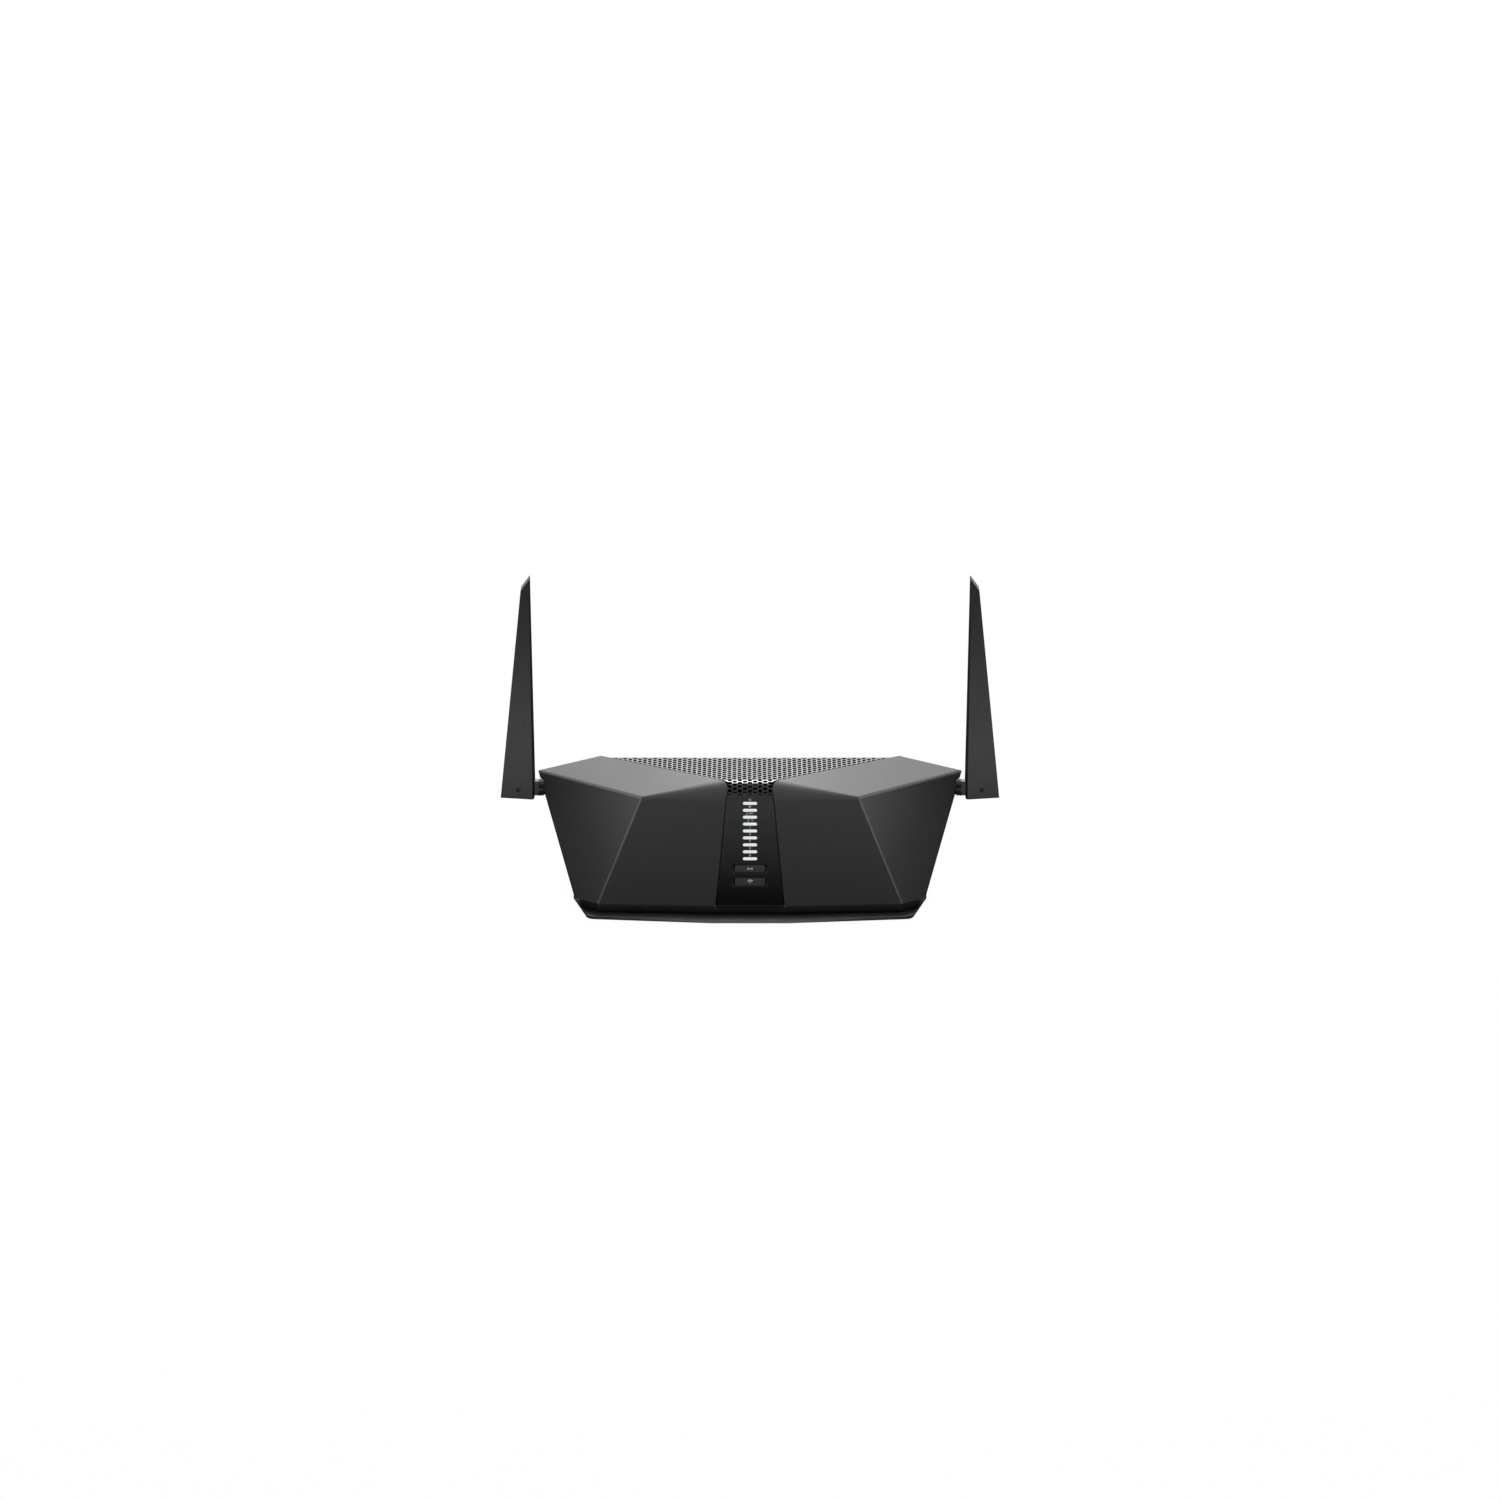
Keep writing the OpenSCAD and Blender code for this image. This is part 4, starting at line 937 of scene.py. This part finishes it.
def build_floor():
    """A pale floor that sweeps up far away on every side."""
    around, flat, bend = 64, 7.0, 3.0
    profile = [(0.0, 0.0), (flat, 0.0)]
    profile += [(flat + bend * math.sin(math.radians(a)), bend - bend * math.cos(math.radians(a)))
                for a in range(10, 91, 10)]
    profile += [(flat + bend, 9.0)]
    verts = [(0, 0, 0)]
    for r, z in profile[1:]:
        verts += [(r * math.cos(math.tau * i / around), r * math.sin(math.tau * i / around), z)
                  for i in range(around)]
    faces = [(0, 1 + i, 1 + (i + 1) % around) for i in range(around)]
    for k in range(len(profile) - 2):
        a, b = 1 + k * around, 1 + (k + 1) * around
        faces += [(a + i, b + i, b + (i + 1) % around, a + (i + 1) % around) for i in range(around)]
    mesh = bpy.data.meshes.new("floor")
    mesh.from_pydata(verts, [], faces)
    mesh.shade_smooth()
    n = Nodes("floor_paint")
    n.bsdf.inputs["Roughness"].default_value = 0.9
    n.bsdf.inputs["Specular IOR Level"].default_value = 0.0
    n.link(n.ramp(n.noise(3.0), (0.05, 0.05, 0.05), (0.055, 0.055, 0.055)), n.bsdf.inputs["Base Color"])
    n.bsdf.inputs["Emission Color"].default_value = (1, 1, 1, 1)
    n.bsdf.inputs["Emission Strength"].default_value = 0.98
    mesh.materials.append(n.material)
    floor = bpy.data.objects.new("floor", mesh)
    scene.collection.objects.link(floor)
    floor.visible_diffuse = False
    floor.visible_glossy = False
    floor.visible_shadow = False


def area(name, place, target, size_x, size_y, radiance):
    """A softbox at place that faces target; it is not seen by the camera."""
    light = bpy.data.lights.new(name, "AREA")
    light.shape = "RECTANGLE"
    light.size, light.size_y = size_x, size_y
    light.energy = radiance * math.pi * size_x * size_y
    lamp = bpy.data.objects.new(name, light)
    lamp.location = place
    lamp.rotation_mode = "QUATERNION"
    lamp.rotation_quaternion = (Vector(target) - Vector(place)).to_track_quat("-Z", "Y")
    scene.collection.objects.link(lamp)
    lamp.visible_camera = False


def build_light():
    """Softboxes behind, stacked ones with soft edges overhead and beside, and a low card in front."""
    world = bpy.data.worlds.new("studio")
    scene.world = world
    world.use_nodes = True
    world.node_tree.nodes["Background"].inputs["Color"].default_value = (1, 1, 1, 1)
    world.node_tree.nodes["Background"].inputs["Strength"].default_value = 0.04
    centre = (0, 0, 0.05)
    area("back_hot", (0, 2.0, 1.68), centre, 1.9, 1.15, 1.05)
    area("back_broad", (0, 2.5, 1.1), centre, 5.0, 2.6, 1.4)
    area("back_glint", (0, 2.0, 1.55), centre, 0.24, 0.95, 16.0)
    area("back_low", (0, 2.8, 0.85), centre, 4.0, 0.8, 1.8)
    over, back = 0.4, 0.3
    for i in range(5):
        front, half = -0.105 - 0.012 * i, 0.27 + 0.012 * i
        area(f"over_{i}", (0, (front + back) / 2, over + 0.001 * i), (0, (front + back) / 2, 0), 2 * half,
             back - front, 0.15)
        outer = 0.27 + 0.012 * i
        for side, x in (("left", -1), ("right", 1)):
            area(f"side_{side}_{i}", (x * (outer + 0.19) / 2, 0.08, over + 0.01 + 0.001 * i),
                 (x * (outer + 0.19) / 2, 0.08, 0), outer - 0.19, 0.3, 0.75)
    area("front_card", (0, -0.17, 0.0004), (0, -0.17, 1), 1.0, 0.22, 1.7)


build_floor()
build_light()
scene.view_settings.view_transform = "Standard"

camera = bpy.data.cameras.new("camera")
camera.lens = 96.84
camera.sensor_width = 36.0
camera.clip_end = 100.0
eye = bpy.data.objects.new("camera", camera)
eye.location = (0, -2.0791, 0.8370)
eye.rotation_euler = (math.radians(70), 0, 0)
scene.collection.objects.link(eye)
scene.camera = eye
